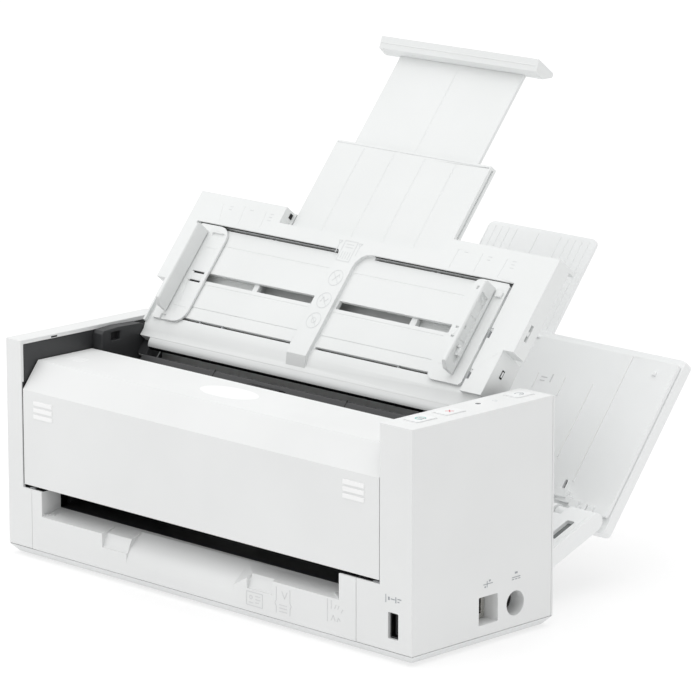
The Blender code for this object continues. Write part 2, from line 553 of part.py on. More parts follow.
# recess for the guides and the lower apron, leaving the spine
R0, R1, RV0, RV1, RD = -128.5, 115.0, 18.6, 84.5, -2.4
SP0, SP1 = -14.3, 0.3
left = [(R0, -RV0), (SP0 - 2.5, -RV0), (SP0 - 0.8, -(RV0 + 0.8)), (SP0, -(RV0 + 3.0)), (SP0, -RV1), (R0, -RV1)]
fil = [(SP1 + 9.5 - 9.5 * math.cos(math.radians(a)), -(RV0 + 9.5 - 9.5 * math.sin(math.radians(a)))) for a in (0, 22, 45, 68, 90)]
right = [(SP1, -RV1)] + fil + [(R1, -RV0), (R1, -RV1)]
cut(ob, prism('z', left, RD, 2.0), prism('z', right, RD, 2.0))
cut(ob, prism('x', [(-RV1 + 0.05, RD), (-RV1 + 0.05, 2.0), (-93.5, 2.0), (-93.5, -3.7), (-88.4, -3.7)], -140.0, 140.0))
# sloped lower end of the spine
join(ob, prism('x', [(-84.0, 0.0), (-84.6, 0.0), (-90.8, -4.0), (-90.8, -5.0), (-84.0, -5.0)], SP0, SP1))
# notch in the top edge for the extension
cut(ob, prism('z', [(-67.9, 1.0), (-67.9, -10.3), (54.6, -10.3), (59.2, 1.0)], -7.3, 2.0))
# pocket for the first extension and chamber for the racks
cut(ob, tbox(POCK_X0, POCK_X1, -1.0, 93.4, -13.1, -7.3))
cut(ob, tbox(-123.6, 110.8, 41.6, 59.6, -7.4, -4.9))
# slots: guide slots in the middle, narrow slots above and below
cut(ob, tbox(-126.5, SP0 - 3.4, 47.9, 53.0, -8.0, -2.0), tbox(SP1 + 1.4, 113.6, 47.9, 53.0, -8.0, -2.0))
cut(ob, tbox(-127.0, SP0 - 2.8, RV0 + 0.2, RV0 + 2.6, -6.2, -2.0), tbox(SP1 + 11.0, 113.8, RV0 + 0.2, RV0 + 2.6, -6.2, -2.0))
cut(ob, tbox(-127.0, SP0 - 3.4, 77.2, 79.6, -6.2, -2.0), tbox(SP1 + 1.4, 113.6, 77.2, 79.6, -6.2, -2.0))
# fine grooves parallel to the slots
for v, d in ((30.0, 0.12), (55.2, 0.12), (69.8, 0.35)):
    cut(ob, tbox(-103.0, SP0 - 3.4, v, v + 0.8, RD - d, -2.0), tbox(SP1 + 1.2, 84.0, v, v + 0.8, RD - d, -2.0))
# size marks on the upper face
for x0, x1, v0, v1 in ((-115.6, -112.2, 5.4, 17.0), (-98.6, -97.0, 4.6, 16.8), (-81.0, -79.6, 5.6, 17.0),
                       (67.0, 66.4, 5.4, 17.0), (84.6, 84.4, 5.0, 16.8), (102.8, 101.8, 5.4, 17.0)):
    cut(ob, prism('z', [(x0 - 0.2, -v0), (x0 + 0.2, -v0), (x1 + 0.2, -v1), (x1 - 0.2, -v1)], -0.2, 1.0))
# slot in the right side, notches at the right end of the recess, slot in the notch's side
cut(ob, tbox(TRAY_HALF - 2.0, TRAY_HALF + 1, 38.4, 48.2, -5.6, -3.4))
cut(ob, tbox(R1 - 1.0, R1 + 1.8, 46.0, 52.0, RD, 1.0), tbox(R1 - 1.0, R1 + 1.8, 71.0, 77.0, RD, 1.0))
# pivot pins moulded on the arms, and the post the pinion turns on
join(ob, rod('x', -96.9, -12.9, 3.0, LEFT_T - 1.8 - TRAY_X, -TRAY_LOW_HALF + 3.0, 20),
     rod('x', -96.9, -12.9, 3.0, TRAY_LOW_HALF - 3.0, XR + 1.8 - TRAY_X, 20),
     rod('z', PC, -50.45, 1.2, -7.1, -4.4, 14))
keep("input_tray", ob, WHITE, TRAY)

# back cover plate of the tray
ob = tbox(-TRAY_HALF + 1.2, POCK_X0 - 4.9, 2.4, TRAY_STEP - 0.6, -12.6, -11.2)
keep("tray_back_plate_left", ob, WHITE, TRAY)
ob = tbox(POCK_X1 + 4.9, TRAY_HALF - 1.2, 2.4, TRAY_STEP - 0.6, -12.6, -11.2)
keep("tray_back_plate_right", ob, WHITE, TRAY)

# ---------------------------------------------------------------- paper guides
P = math.pi * RACK_MODULE
PITCH_R = RACK_MODULE * PINION_TEETH / 2
RACK_V = 50.45


def rack_bar(sign, x0, x1):
    """Rack beside the pinion: sign +1 is above the pinion, -1 below. Teeth leave a space at the paper centre."""
    yc = -RACK_V + sign * PITCH_R
    add, ded = 0.75 * RACK_MODULE, 1.05 * RACK_MODULE
    root_y = yc + sign * ded
    tip_y = yc - sign * add
    top, root = 0.22 * P, 0.42 * P / 2 + 0.30 * ded
    pts = []
    k0 = math.ceil((x0 - PC) / P - 0.5 + 0.3)
    k1 = math.floor((x1 - PC) / P - 0.5 - 0.3)
    pts.append((x0, root_y))
    for k in range(k0, k1 + 1):
        xc = PC + (k + 0.5) * P
        pts += [(xc - root, root_y), (xc - top / 2 - 0.06, tip_y), (xc + top / 2 + 0.06, tip_y), (xc + root, root_y)]
    pts += [(x1, root_y), (x1, root_y + sign * 2.4), (x0, root_y + sign * 2.4)]
    return prism('z', pts, -7.0, -5.1)


def pinion():
    add, ded = 0.75 * RACK_MODULE, 1.05 * RACK_MODULE
    pts = []
    for k in range(PINION_TEETH):
        a = math.radians(90 + 360.0 * k / PINION_TEETH)
        for r, w in ((PITCH_R - ded, 0.50 * P), (PITCH_R, 0.36 * P), (PITCH_R + add, 0.16 * P)):
            pts.append((r, a - w / 2 / r))
        for r, w in ((PITCH_R + add, 0.16 * P), (PITCH_R, 0.36 * P), (PITCH_R - ded, 0.50 * P)):
            pts.append((r, a + w / 2 / r))
    poly = [(PC + r * math.cos(t), -RACK_V + r * math.sin(t)) for r, t in pts]
    return prism('z', poly, -6.95, -5.15)


ob = pinion()
cut(ob, rod('z', PC, -RACK_V, 1.45, -8, -4, 14))
keep("guide_pinion", ob, ACETAL, TRAY, (PC, -RACK_V, -6.0))

PLATE_OUT, PLATE_IN = 119.2, 94.2
PLATE_TOP = -0.6
WALL_IN = 109.2
WALL_T = 2.8
WALL_H = 10.2
WALL_HINGE_N = PLATE_TOP + 0.3 + WALL_T / 2      # fold axis of the walls, clear of the plate
PV0, PV1 = 19.2, 81.4
WV0, WV1 = 23.8, 76.6
for side, nm in ((-1, "left"), (1, "right")):
    def sx(d):
        return PC + side * d
    lo_x, hi_x = sorted((sx(PLATE_OUT), sx(PLATE_IN)))
    r_in = 8.0 if side < 0 else 4.5
    # base plate with big corners on the paper side
    if side < 0:
        poly = rrect(lo_x, hi_x, -PV1, -PV0, 1.2, 2)
        big = [(hi_x - r_in, -PV1)] + [(hi_x - r_in + r_in * math.sin(math.radians(a)), -PV1 + r_in - r_in * math.cos(math.radians(a)))
                                       for a in (0, 22, 45, 68, 90)] + \
              [(hi_x - r_in + r_in * math.cos(math.radians(a)), -PV0 - r_in + r_in * math.sin(math.radians(a)))
               for a in (0, 22, 45, 68, 90)] + [(lo_x + 1.5, -PV0), (lo_x, -PV0 - 1.5), (lo_x, -PV1 + 1.5), (lo_x + 1.5, -PV1)]
    else:
        big = [(lo_x + r_in, -PV0)] + [(lo_x + r_in - r_in * math.sin(math.radians(a)), -PV0 - r_in + r_in * math.cos(math.radians(a)))
                                       for a in (0, 22, 45, 68, 90)] + \
              [(lo_x + r_in - r_in * math.cos(math.radians(a)), -PV1 + r_in - r_in * math.sin(math.radians(a)))
               for a in (0, 22, 45, 68, 90)] + [(hi_x - 1.5, -PV1), (hi_x, -PV1 + 1.5), (hi_x, -PV0 - 1.5), (hi_x - 1.5, -PV0)]
    ob = prism('z', big, RD + 0.3, PLATE_TOP)
    # the wall stands on the plate
    w0, w1 = sorted((sx(WALL_IN), sx(WALL_IN + WALL_T)))
    hx = (w0 + w1) / 2
    # clip slots in the plate and the notch at its lower end
    for v0, v1, d0, d1 in ((23.6, 25.6, 97.6, 106.6), (48.6, 49.9, 97.0, 106.6), (54.2, 55.5, 97.0, 105.8)):
        a, b = sorted((sx(d0), sx(d1)))
        cut(ob, tbox(a, b, v0, v1, PLATE_TOP - 0.9, 2.0))
    if side < 0:
        cut(ob, tbox(sx(112.4), sx(108.6), 78.4, 82.0, PLATE_TOP - 0.9, 2.0))
    # carriage through the middle slot, with its rack arm
    stem = PC + side * 110.0
    yc = -RACK_V
    join(ob, box(stem - 5.0, stem + 5.0, -52.6, -48.3, -7.0, RD + 0.35))
    bar = rack_bar(-side, *sorted((stem, PC - side * 12.0)))
    ya, yb = (-48.5, yc + PITCH_R + 1.05 * RACK_MODULE + 2.0) if side < 0 else (yc - PITCH_R - 1.05 * RACK_MODULE - 2.0, -52.4)
    join(ob, box(stem - 5.0, stem + 5.0, min(ya, yb), max(ya, yb), -7.0, -5.1), bar)
    keep(nm + "_guide", ob, WHITE, TRAY)
    # upright wall, recessed on its outer face
    foot = [(hx + WALL_T / 2 * math.cos(math.radians(t)), WALL_HINGE_N + WALL_T / 2 * math.sin(math.radians(t)))
            for t in range(180, 361, 20)]
    ob = prism('y', foot + [(w1, WALL_H - 0.8), (w1 - 0.5, WALL_H), (w0 + 0.5, WALL_H), (w0, WALL_H - 0.8)],
               -WV1, -WV0)
    # slanted lower end, and the hollow in the outer face between the top block and the lower block
    cut(ob, prism('x', [(-WV1 + 4.0, WALL_H + 1), (-WV1 - 1, WALL_H + 1), (-WV1 - 1, 5.0)], w0 - 1, w1 + 1),
        prism('x', [(-WV0 - 1.5, WALL_H + 1), (-WV0 + 1, WALL_H + 1), (-WV0 + 1, 7.0)], w0 - 1, w1 + 1))
    pocket = [(-WV0 - 6.4, WALL_H - 1.3), (-WV0 - 7.8, 2.4), (-WV1 + 5.0, 2.4), (-WV1 + 7.4, WALL_H - 1.3)]
    if side > 0:
        cut(ob, prism('x', pocket, w1 - 1.4, w1 + 1), rod('x', -51.4, 6.6, 0.9, w1 - 2.1, w1, 12))
    else:
        cut(ob, prism('x', pocket, w0 - 1, w0 + 1.4), rod('x', -51.4, 6.6, 0.9, w0, w0 + 2.1, 12))
    hinge = (sx(WALL_IN + WALL_T / 2), 0.0, WALL_HINGE_N)
    keep(nm + "_guide_wall", ob, WHITE, TRAY, hinge)

# ---------------------------------------------------------------- extensions (sleeve, blade, cap)
E1_N0, E1_N1 = -12.7, -7.6
E1_TOP = 50.0
ex0, ex1 = PC - 58.9, PC + 58.9
ob = box(ex0, ex1, -38.0, E1_TOP, E1_N0, E1_N1)
cut(ob, box(PC - 47.7, PC + 47.7, -39.0, E1_TOP + 1, -11.5, -9.2))
cut(ob, box(ex1 - 1.2, ex1 + 1, -39.0, E1_TOP - 1.6, -10.9, -9.6), box(ex0 - 1, ex0 + 1.2, -39.0, E1_TOP - 1.6, -10.9, -9.6))
for dx in (-36.5, -13.1, 10.3, 33.7):
    cut(ob, box(PC + dx, PC + dx + 0.9, -22.0, 47.2, E1_N1 - 0.13, E1_N1 + 1))
cut(ob, box(ex0 + 1.0, ex1 - 1.0, 48.4, 48.9, E1_N1 - 0.3, E1_N1 + 1))
keep("extension_1", ob, WHITE, TRAY)
ob = box(PC - 47.25, PC + 47.25, 22.0, 109.6, -11.3, -9.4)
cut(ob, box(PC - 0.9, PC - 0.1, 24.0, 106.0, -9.53, -9.0))
keep("extension_2", ob, WHITE, TRAY)
ob = prism('x', [(115.6, -1.3), (109.0, -3.7), (108.7, -9.0), (108.7, -11.0), (113.2, -16.6), (114.8, -17.0), (115.9, -15.9)],
           PC - 60.0, PC + 60.0)
cut(ob, box(PC - 47.6, PC + 47.6, 107.0, 110.0, -11.65, -9.05))
keep("end_cap", ob, WHITE, TRAY)

# ================================================================ rear link, rear panel, stacker extension
LINK_LEN, LINK_R = 75.5, 5.0
LX0, LX1 = 14.2, 287.2
LUGS = ((34.0, 42.0), (259.4, 267.4))


def capsule(s0, s1, r, seg=6):
    pts = [(s1 + r * math.cos(math.radians(a)), r * math.sin(math.radians(a))) for a in range(-90, 91, 180 // seg)]
    pts += [(s0 - r * math.cos(math.radians(a)), -r * math.sin(math.radians(a))) for a in range(-90, 91, 180 // seg)]
    return pts


ob = prism('x', capsule(0.0, LINK_LEN, LINK_R), LX0, LX1)
# ribbed underside
for i in range(9):
    x = LX0 + 3.0 + i * (LX1 - LX0 - 4.0) / 9.0
    for s0, s1 in ((8.0, 26.4), (28.4, 46.6), (48.6, LINK_LEN - 8.5)):
        cut(ob, box(x, x + (LX1 - LX0 - 4.0) / 9.0 - 2.0, s0, s1, -6.0, 2.4))
for a, b in LUGS:
    cut(ob, box(a - 0.4, b + 0.4, LINK_LEN - 6.0, LINK_LEN + 6.0, -6.0, 6.0))
cut(ob, rod('x', LINK_LEN, 0.0, 1.65, LUGS[0][0] - 8.0, LUGS[0][1] + 8.0, 14),
    rod('x', LINK_LEN, 0.0, 1.65, LUGS[1][0] - 8.0, LUGS[1][1] + 8.0, 14))
cut(ob, rod('x', 0.0, 0.0, 1.95, LX0 - 1, LX0 + 9.0, 14), rod('x', 0.0, 0.0, 1.95, LX1 - 9.0, LX1 + 1, 14))
# long groove near the right side of the top
cut(ob, prism('z', rrect(275.8, 281.4, 33.0, 65.5, 0.8, 2), 2.9, 6.0))
keep("rear_link", ob, WHITE, LINK)
for nm, a, b in (("left", LEFT_T - 1.8, LX0 + 8.6), ("right", LX1 - 8.6, XR + 1.8)):
    keep("link_pin_" + nm, rod('x', 0.0, 0.0, 1.75, a, b, 14), STEEL, LINK, None, True)
for nm, (a, b) in (("left", LUGS[0]), ("right", LUGS[1])):
    keep("panel_pin_" + nm, rod('x', LINK_LEN, 0.0, 1.45, a - 7.6, b + 7.6, 14), STEEL, LINK, (a, LINK_LEN, 0.0), True)

PSH_N0, PSH_N1 = -9.2, -2.6
SX0, SX1 = PAPER_X + 1.3 - 41.6, PAPER_X + 1.3 + 41.6
ob = prism('z', rrect(PANEL_LEFT, PANEL_RIGHT, -104.2, 4.0, 2.5, 3), PSH_N0, PSH_N1)
cut(ob, box(SX0 - 0.5, SX1 + 0.5, -98.5, 5.0, -7.6, -4.7))
for a, b in LUGS:
    arm = prism('x', [(-PANEL_AXIS_V - 3.0, -3.0), (-PANEL_AXIS_V + 3.9, -3.0), (-PANEL_AXIS_V + 3.9, PANEL_AXIS_N)] +
                [(-PANEL_AXIS_V + 3.9 * math.cos(math.radians(t)), PANEL_AXIS_N + 3.9 * math.sin(math.radians(t)))
                 for t in (30, 60, 90, 120, 150)] + [(-PANEL_AXIS_V - 3.9, PANEL_AXIS_N), (-PANEL_AXIS_V - 3.0, 0.0)], a, b)
    join(ob, arm)
    cut(ob, rod('x', -PANEL_AXIS_V, PANEL_AXIS_N, 1.75, a - 1, b + 1, 14))
keep("rear_panel", ob, WHITE, PANEL)
ob = prism('z', rrect(PANEL_LEFT + 1.3, PANEL_RIGHT - 1.3, -95.4, 0.0, 1.2, 2), -2.3, 0.0)
for x, v0, v1 in ((254.2, 1.0, 80.0), (236.2, 22.0, 68.0), (215.7, 21.0, 33.0), (196.0, 22.0, 31.0)):
    cut(ob, box(x - 0.35, x + 0.35, -v1, -v0, -0.35, 1.0))
cut(ob, prism('z', rrect(249.0, 251.0, -85.4, -79.6, 0.8, 2), -1.6, 1.0))
keep("rear_panel_face", ob, WHITE, PANEL)
ob = prism('z', rrect(SX0, SX1, -30.0, 66.5, 4.0, 4), -7.3, -5.1)
keep("stacker_extension", ob, WHITE, PANEL)
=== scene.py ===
import bpy
import bmesh
import math
from mathutils import Matrix, Vector


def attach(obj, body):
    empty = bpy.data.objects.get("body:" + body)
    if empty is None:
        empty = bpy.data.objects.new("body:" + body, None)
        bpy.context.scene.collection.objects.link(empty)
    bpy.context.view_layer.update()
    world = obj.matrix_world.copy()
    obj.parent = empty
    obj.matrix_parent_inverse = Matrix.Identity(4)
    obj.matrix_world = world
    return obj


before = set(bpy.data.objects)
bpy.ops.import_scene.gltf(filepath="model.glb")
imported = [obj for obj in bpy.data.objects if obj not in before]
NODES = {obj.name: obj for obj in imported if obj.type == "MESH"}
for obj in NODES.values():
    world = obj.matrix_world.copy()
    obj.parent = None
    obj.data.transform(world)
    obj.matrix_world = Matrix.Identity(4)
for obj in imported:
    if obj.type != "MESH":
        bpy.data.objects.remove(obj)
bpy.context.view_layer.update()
SCENE = bpy.context.scene
COLL = SCENE.collection
MM = 0.001
SHIFT = Vector((-156.0, -141.905, 0.0))


# ------------------------------------------------------------------ frames, in millimetres
def rot_x(deg):
    return Matrix.Rotation(math.radians(deg), 4, 'X')


def frame_matrix(origin, deg):
    """Local millimetres to world metres."""
    return Matrix.Scale(MM, 4) @ Matrix.Translation(Vector(origin) + SHIFT) @ rot_x(deg)


TILT = 39.31
PC = 144.2 - 150.7
BODY = frame_matrix((0, 0, 0), 0)
TRAY = frame_matrix((150.7, 137.4, 189.2), 90 - TILT)
PANEL = frame_matrix((0, 236.7, 115.6), 51.5)
LINK = frame_matrix((0, 99.0, 13.2), 20.5)


# ------------------------------------------------------------------ materials
def nodes_of(name):
    m = bpy.data.materials.new(name)
    m.use_nodes = True
    nt = m.node_tree
    return m, nt, nt.nodes["Principled BSDF"]


def coords(nt, scale, stretch=(1, 1, 1)):
    tc = nt.nodes.new("ShaderNodeTexCoord")
    mp = nt.nodes.new("ShaderNodeMapping")
    mp.inputs["Scale"].default_value = (scale * stretch[0], scale * stretch[1], scale * stretch[2])
    nt.links.new(tc.outputs["Object"], mp.inputs["Vector"])
    return mp.outputs["Vector"]


def noise(nt, vec, scale, detail=2.0, rough=0.5):
    n = nt.nodes.new("ShaderNodeTexNoise")
    n.inputs["Scale"].default_value = scale
    n.inputs["Detail"].default_value = detail
    n.inputs["Roughness"].default_value = rough
    nt.links.new(vec, n.inputs["Vector"])
    return n.outputs["Fac"]


def ramp(nt, fac, a, b, lo=0.35, hi=0.65):
    r = nt.nodes.new("ShaderNodeValToRGB")
    r.color_ramp.elements[0].position = lo
    r.color_ramp.elements[1].position = hi
    r.color_ramp.elements[0].color = (*a, 1)
    r.color_ramp.elements[1].color = (*b, 1)
    nt.links.new(fac, r.inputs["Fac"])
    return r.outputs["Color"]


def value_range(nt, fac, lo, hi):
    m = nt.nodes.new("ShaderNodeMapRange")
    m.inputs["From Min"].default_value = 0.3
    m.inputs["From Max"].default_value = 0.7
    m.inputs["To Min"].default_value = lo
    m.inputs["To Max"].default_value = hi
    nt.links.new(fac, m.inputs["Value"])
    return m.outputs["Result"]


def moulded(name, base, rough=0.42, var=0.012, grain=0.05, grain_mm=0.35, spec=0.4, sheen=0.0):
    """Injection moulded plastic: faint colour drift over centimetres, spark-eroded grain, uneven gloss."""
    m, nt, b = nodes_of(name)
    vec = coords(nt, 1.0)
    big = noise(nt, vec, 14.0, 3.0)
    dark = tuple(max(0.0, c - var) for c in base)
    light = tuple(min(1.0, c + var) for c in base)
    nt.links.new(ramp(nt, big, dark, light), b.inputs["Base Color"])
    mid = noise(nt, vec, 90.0, 3.0)
    nt.links.new(value_range(nt, mid, rough - 0.03, rough + 0.04), b.inputs["Roughness"])
    fine = noise(nt, vec, 1000.0 / grain_mm, 2.0, 0.6)
    bump = nt.nodes.new("ShaderNodeBump")
    bump.inputs["Strength"].default_value = grain
    bump.inputs["Distance"].default_value = 0.00005
    nt.links.new(fine, bump.inputs["Height"])
    nt.links.new(bump.outputs["Normal"], b.inputs["Normal"])
    b.inputs["Specular IOR Level"].default_value = spec
    return m


WHITE = moulded("white_moulded", (0.785, 0.793, 0.791), 0.44)
WHITE_TRAY = moulded("white_tray", (0.80, 0.814, 0.81), 0.42)
# White plastic of the rear panel and link, painted lighter than the body white: painted light for the shade these rear
# parts sit in.
WHITE_REAR_PAINTED_LIGHT = moulded("white_rear_painted_light", (0.87, 0.88, 0.88), 0.45)
PALE = moulded("pale_base", (0.74, 0.75, 0.75), 0.46)
CHARCOAL = moulded("charcoal_moulded", (0.035, 0.036, 0.038), 0.42, 0.004, 0.12, 0.6, 0.45)
BLACK = moulded("black_inner", (0.012, 0.012, 0.013), 0.5, 0.003, 0.1, 0.6, 0.35)
RUBBER = moulded("roller_rubber", (0.03, 0.03, 0.032), 0.75, 0.006, 0.35, 0.8, 0.25)
FOOT = moulded("foot_rubber", (0.05, 0.05, 0.052), 0.8, 0.008, 0.4, 0.9, 0.2)
ACETAL = moulded("natural_acetal", (0.72, 0.71, 0.66), 0.35, 0.02, 0.05, 0.4, 0.5)
ICON = moulded("icon_grey", (0.60, 0.62, 0.635), 0.5, 0.01, 0.05, 0.4, 0.3)
ICON_MID = moulded("icon_mid_grey", (0.36, 0.38, 0.40), 0.5, 0.01, 0.05, 0.4, 0.3)
ICON_GREEN = moulded("icon_green", (0.18, 0.52, 0.46), 0.45, 0.01, 0.03, 0.4, 0.4)
ICON_RED = moulded("icon_red", (0.72, 0.12, 0.14), 0.45, 0.01, 0.03, 0.4, 0.4)
LENS = moulded("status_lens", (0.10, 0.105, 0.11), 0.2, 0.01, 0.02, 0.4, 0.5)
DEEP = moulded("deep_shadow_black", (0.01, 0.01, 0.011), 0.95, 0.002, 0.1, 0.6, 0.02)
# Dark grey used as painted shade on the floor of the groove in the rear link.
LINK_SLOT_SHADE = moulded("link_slot_painted_shade", (0.16, 0.17, 0.17), 0.5, 0.01, 0.05, 0.4, 0.3)
CHUTE_GREY = moulded("chute_grey", (0.052, 0.053, 0.055), 0.4, 0.004, 0.12, 0.6, 0.45)
# Grey used as painted shade in recesses, gaps and vents, and on the small catches and stops that sit in shade.
SHADOW_GREY = moulded("recess_painted_shade_grey", (0.42, 0.43, 0.44), 0.5, 0.01, 0.05, 0.4, 0.3)


def metal(name, base, rough, stretch=(1, 1, 1)):
    m, nt, b = nodes_of(name)
    b.inputs["Metallic"].default_value = 1.0
    vec = coords(nt, 1.0, stretch)
    n1 = noise(nt, vec, 300.0, 3.0)
    nt.links.new(ramp(nt, n1, tuple(c * 0.85 for c in base), base), b.inputs["Base Color"])
    nt.links.new(value_range(nt, n1, rough - 0.06, rough + 0.08), b.inputs["Roughness"])
    bump = nt.nodes.new("ShaderNodeBump")
    bump.inputs["Strength"].default_value = 0.08
    bump.inputs["Distance"].default_value = 0.00004
    nt.links.new(noise(nt, vec, 1500.0, 2.0), bump.inputs["Height"])
    nt.links.new(bump.outputs["Normal"], b.inputs["Normal"])
    return m


STEEL = metal("plated_steel", (0.62, 0.62, 0.61), 0.3, (0.2, 1, 1))
NICKEL = metal("connector_shell", (0.66, 0.65, 0.62), 0.25)
DARK_SHELL = metal("dark_shell", (0.09, 0.09, 0.095), 0.4)
GOLD = metal("contact_gold", (0.75, 0.55, 0.22), 0.25)

GLASS, nt, b = nodes_of("scan_glass")
b.inputs["Base Color"].default_value = (0.10, 0.13, 0.14, 1)
vec = coords(nt, 1.0)
nt.links.new(ramp(nt, noise(nt, vec, 25.0), (0.05, 0.07, 0.08), (0.09, 0.11, 0.12)), b.inputs["Base Color"])
nt.links.new(value_range(nt, noise(nt, vec, 60.0), 0.03, 0.08), b.inputs["Roughness"])
b.inputs["Specular IOR Level"].default_value = 0.8

BOARD, nt, b = nodes_of("board_green")
vec = coords(nt, 1.0)
tr = nt.nodes.new("ShaderNodeTexBrick")
tr.inputs["Scale"].default_value = 160.0
tr.inputs["Color1"].default_value = (0.01, 0.10, 0.045, 1)
tr.inputs["Color2"].default_value = (0.015, 0.13, 0.055, 1)
tr.inputs["Mortar"].default_value = (0.03, 0.20, 0.09, 1)
nt.links.new(vec, tr.inputs["Vector"])
nt.links.new(tr.outputs["Color"], b.inputs["Base Color"])
nt.links.new(value_range(nt, noise(nt, vec, 200.0), 0.25, 0.4), b.inputs["Roughness"])


# ------------------------------------------------------------------ CAD nodes: finish and edges
def dress(node, mat, bevel=0.4, segs=2, planar=False, angle=32):
    o = NODES[node]
    o.data.materials.clear()
    o.data.materials.append(mat)
    w = o.modifiers.new("weld", 'WELD')
    w.merge_threshold = 0.00001
    if planar:
        d = o.modifiers.new("planar", 'DECIMATE')
        d.decimate_type = 'DISSOLVE'
        d.angle_limit = math.radians(1.0)
    if bevel:
        m = o.modifiers.new("edge", 'BEVEL')
        m.width = bevel * MM
        m.segments = segs
        m.limit_method = 'ANGLE'
        m.angle_limit = math.radians(angle)
        m.use_clamp_overlap = True
        m.miter_outer = 'MITER_ARC'
    for p in o.data.polygons:
        p.use_smooth = True
    n = o.modifiers.new("normals", 'WEIGHTED_NORMAL')
    n.keep_sharp = True
    n.weight = 100
    o.data.set_sharp_from_angle(angle=math.radians(40))
    return o


FINISH = {
    "base_housing": (PALE, 0.5), "base_front_panel": (WHITE, 0.5), "left_end_cover": (WHITE, 1.0),
    "right_end_cover": (WHITE, 1.0), "rear_cover": (WHITE, 0.3), "front_cover": (WHITE, 0.7),
    "input_tray": (WHITE_TRAY, 0.4), "tray_back_plate_left": (WHITE_TRAY, 0.4), "tray_back_plate_right": (WHITE_TRAY, 0.4),
    "left_guide": (WHITE_TRAY, 0.25), "right_guide": (WHITE_TRAY, 0.25), "left_guide_wall": (WHITE_TRAY, 0.3),
    "right_guide_wall": (WHITE_TRAY, 0.3), "extension_1": (WHITE_TRAY, 0.35), "extension_2": (WHITE_TRAY, 0.3),
    "end_cap": (WHITE_TRAY, 0.5), "rear_link": (WHITE_REAR_PAINTED_LIGHT, 0.4), "rear_panel": (WHITE_REAR_PAINTED_LIGHT, 0.6),
    "rear_panel_face": (WHITE_REAR_PAINTED_LIGHT, 0.4), "stacker_extension": (WHITE_REAR_PAINTED_LIGHT, 0.35),
    "scan_button": (WHITE, 0.25), "cancel_button": (WHITE, 0.25), "power_button": (WHITE, 0.25),
    "left_inner_liner": (CHARCOAL, 0.3), "right_inner_liner": (CHARCOAL, 0.3),
    "tray_pivot_block_left": (CHARCOAL, 0.5), "tray_pivot_block_right": (CHARCOAL, 0.5),
    "chassis_frame": (CHARCOAL, 0.25), "lower_guide": (CHARCOAL, 0.3), "cover_inner_guide": (CHARCOAL, 0.25),
    "front_scan_module": (CHARCOAL, 0.4), "rear_scan_module": (CHARCOAL, 0.4), "power_jack": (BLACK, 0.2),
    "foot_front_left": (FOOT, 0.2), "foot_front_right": (FOOT, 0.2), "foot_rear_left": (FOOT, 0.2),
    "foot_rear_right": (FOOT, 0.2), "separation_roller": (RUBBER, 0.3), "pick_roller": (RUBBER, 0.3),
    "feed_roller": (RUBBER, 0.3), "exit_roller": (RUBBER, 0.3), "rear_exit_roller": (RUBBER, 0.3),
    "drive_belt": (RUBBER, 0.2), "motor_pulley": (STEEL, 0.2), "drive_motor": (STEEL, 0.4),
    "usb_host_port": (DARK_SHELL, 0.1), "usb_device_port": (NICKEL, 0.1), "link_pin_left": (STEEL, 0.2),
    "link_pin_right": (STEEL, 0.2), "panel_pin_left": (STEEL, 0.2), "panel_pin_right": (STEEL, 0.2),
    "feed_idler": (ACETAL, 0.2), "exit_idler": (ACETAL, 0.2), "guide_pinion": (ACETAL, 0.1),
    "front_scan_glass": (GLASS, 0.1), "rear_scan_glass": (GLASS, 0.1), "status_light": (LENS, 0.15),
    "main_board": (BOARD, 0.15), "panel_board": (BOARD, 0.15),
}
for node, (mat, bev) in FINISH.items():
    dress(node, mat, bev, 3 if bev >= 0.5 else 2)


# ------------------------------------------------------------------ mesh helpers for added pieces
def piece(name, bm, mat, body, space=BODY, bevel=0.0, segs=2, smooth=True):
    """Finishes a bmesh given in local millimetres and lets it ride on a CAD body."""
    bmesh.ops.remove_doubles(bm, verts=bm.verts, dist=1e-4)
    bmesh.ops.recalc_face_normals(bm, faces=bm.faces)
    me = bpy.data.meshes.new(name)
    bm.to_mesh(me)
    bm.free()
    me.transform(space)
    ob = bpy.data.objects.new(name, me)
    COLL.objects.link(ob)
    me.materials.append(mat)
    if smooth:
        for p in me.polygons:
            p.use_smooth = True
        me.set_sharp_from_angle(angle=math.radians(35))
    if bevel:
        m = ob.modifiers.new("edge", 'BEVEL')
        m.width = bevel * MM
        m.segments = segs
        m.limit_method = 'ANGLE'
        m.angle_limit = math.radians(30)
        w = ob.modifiers.new("normals", 'WEIGHTED_NORMAL')
        w.keep_sharp = True
    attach(ob, body)
    return ob


def add_prism(bm, poly, axis, a, b):
    def put(p, t):
        if axis == 'x':
            return (t, p[0], p[1])
        if axis == 'y':
            return (p[0], t, p[1])
        return (p[0], p[1], t)
    n = len(poly)
    lo = [bm.verts.new(put(p, a)) for p in poly]
    hi = [bm.verts.new(put(p, b)) for p in poly]
    bm.faces.new(lo)
    bm.faces.new(list(reversed(hi)))
    for i in range(n):
        j = (i + 1) % n
        bm.faces.new((lo[i], lo[j], hi[j], hi[i]))


def add_box(bm, x0, x1, y0, y1, z0, z1):
    add_prism(bm, [(x0, y0), (x1, y0), (x1, y1), (x0, y1)], 'z', z0, z1)


def rrect(u0, u1, v0, v1, r, seg=5):
    pts = []
    for cu, cv, a0 in ((u1 - r, v0 + r, -90), (u1 - r, v1 - r, 0), (u0 + r, v1 - r, 90), (u0 + r, v0 + r, 180)):
        for i in range(seg + 1):
            a = math.radians(a0 + 90.0 * i / seg)
            pts.append((cu + r * math.cos(a), cv + r * math.sin(a)))
    return pts


